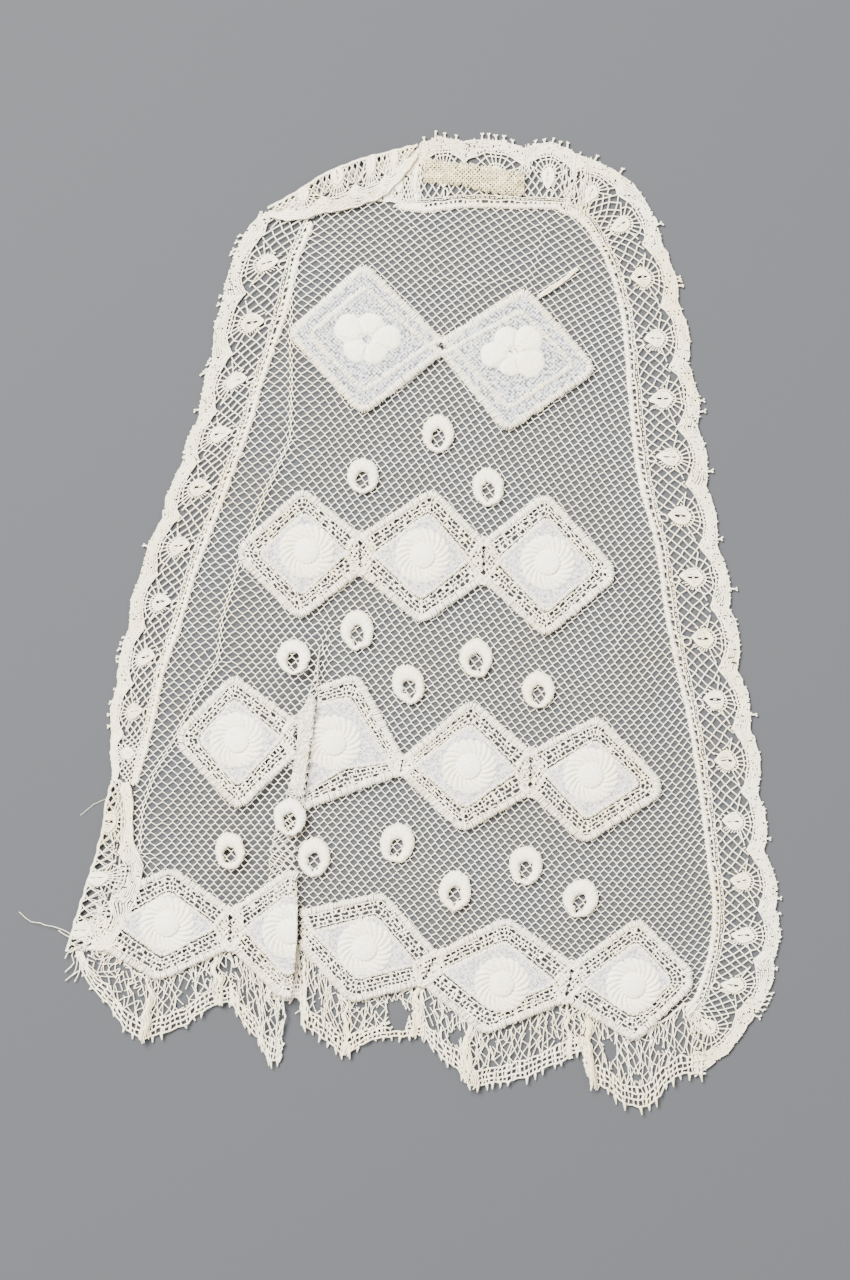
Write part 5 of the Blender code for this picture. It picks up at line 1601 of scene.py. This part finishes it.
def ring_runs(row, draw):
    """Stitches over the ring, each from the net outside it to the net in the hole."""
    centre = Vector((row["x"], row["y"]))
    lean = math.radians(row["lean"])
    runs = []
    for step in range(RING_STITCHES):
        angle = 2 * math.pi * step / RING_STITCHES
        wide, tall = math.cos(angle), math.sin(angle)
        uneven = 0.3 * noise.noise(Vector((centre.x + wide * 2, centre.y + tall * 2, 0.0)))
        reach = draw.uniform(0.92, 0.99) + uneven * 0.2
        outer = Vector((wide * row["half_width"], tall * row["half_height"])) * reach
        hole = Vector((wide * HOLE_HALF_WIDTH, tall * HOLE_HALF_HEIGHT - HOLE_LOWER)) * (1 + uneven)
        rise = draw.uniform(0.9, 1.05)
        run = []
        for band in RING_SECTION:
            local = outer.lerp(hole, band["share"])
            spot = centre + Vector((local.x * math.cos(lean) - local.y * math.sin(lean),
                                    local.x * math.sin(lean) + local.y * math.cos(lean)))
            middle = over_height(spot.x, spot.y) if row["over"] else HALF
            height = middle + HALF + LOZENGE_GAP - RING_SINKS + band["height"] * rise
            run.append((spot.x, spot.y, height, RING_YARN))
        runs.append(run)
    return runs


ring_draw = random.Random(11)
for number, ring_row in enumerate(RINGS, start=1):
    ring = lay_yarn(f"eyelet_{number:02d}_satin", ring_runs(ring_row, ring_draw), satin_cotton, sides=4)
    dressed(ring, "stitch", f"eyelet_ring_{number:02d}")

# Frill: one gathered length of the same cotton lace, hung from the zigzag hem. It has open mesh,
# ladder-like rows of slots near its edge and pointed picots, and it is torn in two places.
FRILL_LEFT = rows(
    "root_x root_y hem_x hem_y lift",
    (-93.6, -94.6, -100.2, -96.8, 0.2), (-91.2, -95.6, -98.6, -101.2, 0.8),
    (-89.2, -96.8, -96.2, -106.0, 0.0), (-87.2, -98.0, -92.3, -109.4, 1.2),
    (-85.2, -99.1, -89.9, -113.0, 0.0), (-83.2, -100.3, -87.2, -117.4, 1.2),
    (-81.2, -101.2, -84.2, -119.8, 0.0), (-79.2, -102.0, -81.0, -121.2, 1.8),
    (-76.9, -102.4, -78.0, -120.2, 0.0), (-74.6, -101.7, -75.1, -119.2, 1.0),
    (-72.2, -100.7, -72.3, -118.5, 0.0), (-69.8, -99.6, -69.2, -117.0, 1.0),
    (-67.2, -98.4, -66.2, -115.0, 0.0), (-64.8, -97.2, -63.4, -112.8, 1.2),
    (-62.2, -96.0, -60.8, -111.4, 0.0), (-59.6, -94.8, -58.3, -110.6, 1.6),
    (-56.2, -93.3, -55.9, -110.3, 0.0))
FRILL_FOLD = rows(
    "root_x root_y hem_x hem_y lift",
    (-55.2, -93.3, -55.0, -110.8, 0.0), (-53.6, -94.8, -53.5, -113.6, 0.9),
    (-51.8, -96.6, -51.6, -116.8, 0.0), (-50.0, -98.4, -49.8, -118.7, 1.0),
    (-48.2, -100.3, -47.8, -121.2, 0.0), (-46.6, -101.9, -46.2, -124.2, 1.0),
    (-44.9, -103.7, -44.9, -126.8, 0.0), (-43.0, -105.6, -43.5, -127.7, 1.0),
    (-41.1, -107.6, -42.2, -127.6, 0.0), (-39.8, -107.0, -41.2, -126.4, 0.2))
FRILL_UNDER = rows(
    "root_x root_y hem_x hem_y lift",
    (-44.0, -98.2, -43.4, -108.8, 0.0), (-41.4, -96.4, -40.8, -109.4, 0.1),
    (-38.9, -94.8, -38.7, -109.7, 0.0), (-37.2, -93.7, -37.2, -108.9, 0.1),
    (-36.0, -93.2, -35.9, -109.3, 0.0))
FRILL_MIDDLE = rows(
    "root_x root_y hem_x hem_y lift",
    (-34.6, -94.2, -35.0, -114.4, 0.0), (-32.6, -96.2, -34.2, -117.4, 1.2),
    (-30.7, -98.4, -31.9, -118.8, 0.0), (-28.8, -100.6, -29.6, -120.4, 1.0),
    (-26.8, -102.9, -27.2, -122.2, 0.0), (-24.8, -105.2, -25.0, -124.0, 1.1),
    (-22.8, -107.6, -23.0, -126.0, 0.0), (-20.8, -108.9, -20.8, -124.9, 1.0),
    (-18.5, -108.3, -18.7, -123.0, 0.0), (-16.0, -107.7, -16.3, -121.8, 0.8),
    (-13.5, -107.0, -13.9, -120.8, 0.0), (-11.0, -106.3, -11.3, -120.2, 0.7),
    (-8.5, -105.7, -8.7, -120.0, 0.0), (-6.0, -105.0, -6.2, -120.2, 0.6),
    (-3.6, -104.4, -3.8, -120.0, 1.2), (-1.6, -103.8, -1.8, -119.9, 0.0),
    (-0.1, -103.5, -0.3, -120.0, 0.6))
FRILL_RIGHT = rows(
    "root_x root_y hem_x hem_y lift",
    (0.6, -104.4, 0.4, -120.2, 0.0), (3.0, -106.3, 2.8, -122.8, 1.0),
    (5.2, -108.1, 5.2, -126.0, 0.0), (7.4, -109.9, 7.6, -127.8, 0.9),
    (9.6, -111.6, 9.8, -129.2, 0.0), (11.8, -113.4, 11.6, -132.2, 1.2),
    (14.0, -115.2, 13.6, -134.2, 2.0), (16.0, -116.8, 15.8, -134.8, 1.6),
    (18.2, -117.6, 17.8, -134.8, 0.0), (20.6, -116.6, 20.0, -133.7, 1.0),
    (23.0, -115.7, 22.4, -134.0, 0.0), (25.4, -114.7, 25.0, -133.4, 0.9),
    (27.8, -113.8, 27.5, -132.8, 0.0), (30.2, -112.8, 30.1, -132.0, 0.9),
    (32.6, -111.9, 32.7, -131.2, 0.0), (35.0, -110.9, 35.5, -129.4, 1.0),
    (37.3, -110.0, 38.1, -128.6, 0.0), (39.6, -109.0, 40.6, -127.8, 0.9),
    (41.6, -108.6, 43.0, -125.8, 0.0), (43.2, -109.2, 45.2, -124.6, 0.8),
    (44.6, -110.0, 46.3, -124.4, 0.0))
FRILL_CORNER = rows(
    "root_x root_y hem_x hem_y lift",
    (46.0, -110.9, 47.8, -130.6, 0.6), (47.8, -111.9, 49.2, -134.6, 1.8),
    (50.0, -113.2, 51.2, -134.8, 0.0), (52.3, -114.5, 53.8, -135.8, 1.0),
    (54.6, -115.8, 56.2, -138.4, 0.0), (56.9, -117.2, 58.5, -140.2, 1.1),
    (59.2, -118.5, 60.8, -140.8, 0.0), (61.6, -119.8, 63.2, -141.0, 1.1),
    (64.0, -118.3, 65.8, -140.8, 0.0), (66.3, -116.7, 68.2, -138.4, 1.1),
    (68.5, -115.3, 70.4, -134.8, 0.0), (70.6, -114.6, 72.6, -132.6, 1.4),
    (72.8, -112.2, 74.9, -131.6, 0.2), (75.6, -110.4, 77.8, -131.6, 0.8))
RIPS = rows(
    "x y half_width half_length lean",
    (-7.2, -113.2, 2.8, 4.5, 12.0), (54.3, -123.4, 1.8, 3.2, 8.0), (9.5, -119.5, 1.2, 2.2, 0.0))
FRILL_RAISE = 0.22          # the troughs lie this far above the table
GATHER = 2.3                # of the pattern's length between two rows of the tables
FRILL_DEPTH = 16.0
LADDER = (10.8, 12.15, 13.5, 14.8)      # solid lines near the hem, from the root
LADDER_STEP = 1.15          # between the bars of its slots
LADDER_YARN = 0.29
LADDER_BARS = (0.16, 0.2, 0.24, 0.4)
ROOT_YARN = 0.4
FRILL_STEP = (0.95, 1.5)
FRILL_YARN = 0.155
FRILL_WANDER = (1.5, 2.8, 0.5, 1.1)    # how far the lace is drawn about and over what span, twice
GATHER_STEP = 1.5           # between the threads that the gathers draw together
GATHER_YARN = (0.13, 0.2)
HOLE_SPAN = 2.1             # of the noise that makes the larger holes
HOLE_SHARE = 0.36           # where it is more than this
FRILL_PICOT = 1.7
FRILL_PICOT_STEP = 2.3
PICOT_TAPER = [0.55, 0.14]
PICOT_LOST = 0.08           # the share of them that is worn away
FRILL_LAP = 1.2             # one stretch runs on over the next by this much
# Where the lace is doubled in a deep fold, by its place along the stretch, and how wide it is
DOUBLED = rows(
    "piece at width lean",
    ("frill_left", 16.2, 1.3, 0.4), ("frill_left", 34.2, 1.2, 0.0),
    ("frill_middle", 1.2, 0.9, -0.6), ("frill_middle", 14.2, 0.8, 0.5),
    ("frill_middle", 34.2, 1.3, 0.0), ("frill_right", 13.8, 1.9, -0.8),
    ("frill_right", 41.0, 0.8, 0.5),
    ("frill_corner", 2.3, 1.3, 0.0))
DOUBLED_THREADS = 9
DOUBLED_STEPS = 12
STRAY = 0.3                 # how far its threads are out of true, over about STRAY_SPAN
STRAY_SPAN = 1.3


def frill_place(table, over):
    """Places a point of the frill's pattern: `along` the gathers, and `across` from root to hem."""
    def place(point):
        along = point.x / GATHER
        k = min(max(int(along), 0), len(table) - 2)
        share, down = along - k, point.y / FRILL_DEPTH
        row, following = table[k], table[k + 1]
        root_x = blend(row["root_x"], following["root_x"], share)
        root_y = blend(row["root_y"], following["root_y"], share)
        x = blend(root_x, blend(row["hem_x"], following["hem_x"], share), down)
        y = blend(root_y, blend(row["hem_y"], following["hem_y"], share), down)
        lift = blend(row["lift"], following["lift"], ease(share))
        root = over_height(root_x, root_y) if over else HALF
        z = blend(root, HALF + FRILL_RAISE, ease(down)) + lift * ease(down * 1.2)
        far, span, near, fine = FRILL_WANDER
        calm = 1 - 0.7 * ease((point.y - LADDER[0] + 1.5) / 3)
        wander = drift(x, y, span, 5.0) * far * calm + drift(x, y, fine, 7.0) * near
        return x + wander.x, y + wander.y, z

    return place


def torn(place, point):
    """Whether the point of the pattern lies in one of the rips or the larger holes of the lace."""
    x, y, _ = place(point)
    if point.y < LADDER[0] and ripple(x, y, HOLE_SPAN, 4.0) > HOLE_SHARE:
        return True
    for rip in RIPS:
        lean = math.radians(rip["lean"])
        dx, dy = x - rip["x"], y - rip["y"]
        side = dx * math.cos(lean) + dy * math.sin(lean)
        down = dy * math.cos(lean) - dx * math.sin(lean)
        if math.hypot(side / rip["half_width"], down / rip["half_length"]) < 1:
            return True
    return False


def frill_runs(table, over, lap, draw):
    """Open mesh with drawn gathers, then rows of slots and pointed picots along the hem."""
    place = frill_place(table, over)
    first, last = -FRILL_LAP, (len(table) - 1) * GATHER + lap

    def whole(point):
        return not torn(place, point)

    runs = lattice(place, whole, (last, LADDER[0]), FRILL_STEP, FRILL_YARN, (first, 0.0))
    for i, across in enumerate((0.0, *LADDER)):
        points = [Vector(point) for point in stretch(first, last, 0.8, lambda along: across)]
        runs += strand(points, whole, place, LADDER_YARN if i else ROOT_YARN)
    for k in range(round((last - first) / GATHER_STEP)):
        along = first + (k + draw.uniform(0.1, 0.9)) * GATHER_STEP
        reach = LADDER[0] * draw.choice((0.35, 0.6, 1.0, 1.0))
        sway = draw.uniform(-0.8, 0.8)
        points = [Vector((along + sway * math.sin(i / 5 * 3), reach * i / 5)) for i in range(6)]
        runs += strand(points, whole, place, draw.uniform(*GATHER_YARN))
    for upper, lower in zip(LADDER, LADDER[1:]):
        for k in range(round((last - first) / LADDER_STEP)):
            along = first + (k + 0.5 + draw.uniform(-0.2, 0.2)) * LADDER_STEP
            bar = [Vector((along, upper)), Vector((along, lower))]
            if whole(bar[0]) and whole(bar[1]):
                runs.append(thread(place, bar, draw.choice(LADDER_BARS)))
    for k in range(round((last - first) / FRILL_PICOT_STEP)):
        along = first + (k + 0.5 + draw.uniform(-0.2, 0.2)) * FRILL_PICOT_STEP
        if draw.random() < PICOT_LOST:
            continue
        reach = LADDER[-1] + FRILL_PICOT * draw.uniform(0.7, 1.15)
        tip = along + draw.uniform(-0.3, 0.3)
        runs.append(thread(place, [(along, LADDER[-1]), (tip, reach)], PICOT_TAPER))
    return runs


def doubled_runs(piece, table, over, draw):
    """Close threads from root to hem on each deep fold, heaped in its middle."""
    place = frill_place(table, over)
    runs = []
    for fold in of_piece(DOUBLED, piece):
        for i in range(DOUBLED_THREADS):
            share = i / (DOUBLED_THREADS - 1) * 2 - 1
            foot = LADDER[-1] + draw.uniform(-0.6, 1.2)
            start = draw.uniform(0.0, 0.12)
            run = []
            for k in range(DOUBLED_STEPS + 1):
                down = blend(start, 1.0, k / DOUBLED_STEPS)
                ragged = noise.noise(Vector((fold["at"], down * 4.0, 0.0)))
                wide = fold["width"] * (0.3 + 0.7 * down) * (1 + 0.5 * ragged)
                along = fold["at"] + share * wide + fold["lean"] * math.sin(down * 3.0) + ragged * 0.8
                x, y, z = place(Vector((along, foot * down)))
                rise = 0.5 * math.sqrt(1 - 0.8 * share * share)
                stray = drift(x, y, STRAY_SPAN, i * 2.0) * STRAY
                run.append((x + stray.x, y + stray.y, z + rise, draw.uniform(0.13, 0.27)))
            runs.append(run)
    return runs


aged_cotton = yarn_finish("aged_cotton", (0.95, 0.85, 0.6), (0.88, 0.74, 0.42), 0.85)
frill_draw = random.Random(5)
for frill_name, frill_table, frill_over, frill_depth, frill_lap in (
        ("frill_left", FRILL_LEFT, True, 0.017, FRILL_LAP),
        ("frill_fold", FRILL_FOLD, True, 0.02, FRILL_LAP),
        ("frill_under", FRILL_UNDER, False, 0.0135, FRILL_LAP),
        ("frill_middle", FRILL_MIDDLE, False, 0.017, FRILL_LAP),
        ("frill_right", FRILL_RIGHT, False, 0.0175, FRILL_LAP),
        ("frill_corner", FRILL_CORNER, False, 0.021, 3.6)):
    runs = frill_runs(frill_table, frill_over, frill_lap, frill_draw)
    frill = lay_yarn(f"{frill_name}_lace", runs, lace_cotton, sides=4, flatness=0.8)
    dressed(frill, "lace", frill_name)
    runs = doubled_runs(frill_name, frill_table, frill_over, frill_draw)
    if runs:
        doubled = lay_yarn(f"{frill_name}_doubled", runs, aged_cotton, sides=4, flatness=0.8)
        dressed(doubled, "lace")

# Loose threads: the end of the right flower lozenge's cord, and the frayed and stray ends of cotton
# at the folded lower left, which hang on to the cloth they come from.
LOOSE = (
    dict(half_width=0.42, height=1.5, line=((33.4, 95.0), (38.0, 98.4), (42.0, 101.0), (44.5, 103.5))),
    dict(half_width=0.34, height=1.4, line=((33.9, 94.6), (38.4, 97.8), (42.3, 100.7), (44.9, 103.2))),
    dict(half_width=0.1, height=1.4, line=(
        (-102.0, -89.5), (-105.0, -88.0), (-110.0, -86.6), (-113.8, -85.6), (-117.0, -83.0))),
    dict(half_width=0.16, height=1.2, line=((-101.5, -93.5), (-102.6, -95.0), (-103.5, -96.5))),
    dict(half_width=0.16, height=1.0, line=(
        (-101.0, -93.5), (-101.6, -96.0), (-101.0, -98.0), (-102.6, -99.6), (-103.5, -100.5))),
    dict(half_width=0.14, height=0.9, line=((-99.8, -94.0), (-100.5, -100.0), (-103.5, -103.0))),
    dict(half_width=0.14, height=0.9, line=((-100.2, -94.0), (-99.2, -99.0), (-100.8, -103.4))),
    dict(half_width=0.14, height=0.9, line=((-98.4, -94.5), (-98.0, -98.4), (-101.6, -101.6))),
    dict(half_width=0.15, height=1.3, line=((-102.4, -90.5), (-104.0, -89.6), (-105.2, -88.5))),
    dict(half_width=0.05, height=0.5, line=((-91.0, -50.0), (-95.0, -52.0), (-99.0, -55.0))),
    dict(half_width=0.14, height=1.2, line=((-37.0, -112.5), (-35.0, -111.4), (-33.0, -111.0))))
LOOSE_STEP = 1.2
LOOSE_SPAN = 2
LOOSE_WANDER = 0.35
FRAYED = dict(count=90, left=(-101.0, -91.5), right=(-89.5, -92.5), top=(-93.0, -82.0),
              height=2.0, step=0.7, half_width=0.16)
loose_draw = random.Random(9)


def frayed_runs(draw):
    """Short curls of cotton, close together over the torn end of the folded edging."""
    left, right, top = (Vector(FRAYED[corner]) for corner in ("left", "right", "top"))
    runs = []
    for _ in range(FRAYED["count"]):
        across, up = draw.random(), draw.random() ** 2
        spot = left.lerp(right, across).lerp(top, up)
        runs.append(curl(spot, FRAYED["height"], FRAYED["step"], FRAYED["half_width"], draw))
    return runs


loose_runs = []
for loose in LOOSE:
    path = smooth_path(loose["line"], LOOSE_STEP)
    run = []
    for point in path:
        stray = drift(point.x, point.y, LOOSE_SPAN, 9.0).to_2d() * LOOSE_WANDER
        run.append((point.x + stray.x, point.y + stray.y, loose["height"], loose["half_width"]))
    loose_runs.append(run)
loose_runs += frayed_runs(loose_draw)
loose_ends = lay_yarn("loose_threads", loose_runs, lace_cotton, sides=5)
dressed(loose_ends, "lace")

# Floor, light and camera: a plain pale table under soft light, seen from straight above.
FLOOR_SIZE = 3.0            # metres, like FLOOR_LEVEL, which is just under the cloth
FLOOR_LEVEL = -0.0002
FLOOR_COLOUR = (0.058, 0.06, 0.064, 1.0)
SKY_STRENGTH = 0.85
PIXEL = 0.29                # millimetres of the table in one pixel of the photograph
FRAME_HEIGHT = 1280 * PIXEL
VIEW_CENTRE = (0.7, -4.35)
LENS = 100.0
SENSOR = 36.0

bpy.ops.mesh.primitive_plane_add(size=FLOOR_SIZE, location=(0.0, 0.0, FLOOR_LEVEL))
floor = bpy.context.object
floor.name = "floor"
floor_finish = Finish("floor_paper", 0.9, 0.0)
floor.data.materials.append(floor_finish.surface(FLOOR_COLOUR))

world = bpy.data.worlds.new("studio")
world.use_nodes = True
sky = world.node_tree.nodes["Background"].inputs
sky["Color"].default_value = (1.0, 1.0, 1.0, 1.0)
sky["Strength"].default_value = SKY_STRENGTH
bpy.context.scene.world = world


def add_light(name, place, size, power):
    light = bpy.data.lights.new(name, "AREA")
    light.size = size
    light.energy = power
    item = placed(name, light)
    item.location = place
    item.rotation_euler = (-Vector(place)).to_track_quat("-Z", "Y").to_euler()


add_light("window", (-0.7, 0.75, 1.7), 1.0, 205.0)
add_light("fill", (1.0, -0.4, 1.4), 1.2, 8.0)

camera_data = bpy.data.cameras.new("camera")
camera_data.lens = LENS
camera_data.sensor_width = SENSOR
camera = placed("camera", camera_data)
camera.location = (VIEW_CENTRE[0] * MM, VIEW_CENTRE[1] * MM, FRAME_HEIGHT * MM * LENS / SENSOR)
bpy.context.scene.camera = camera
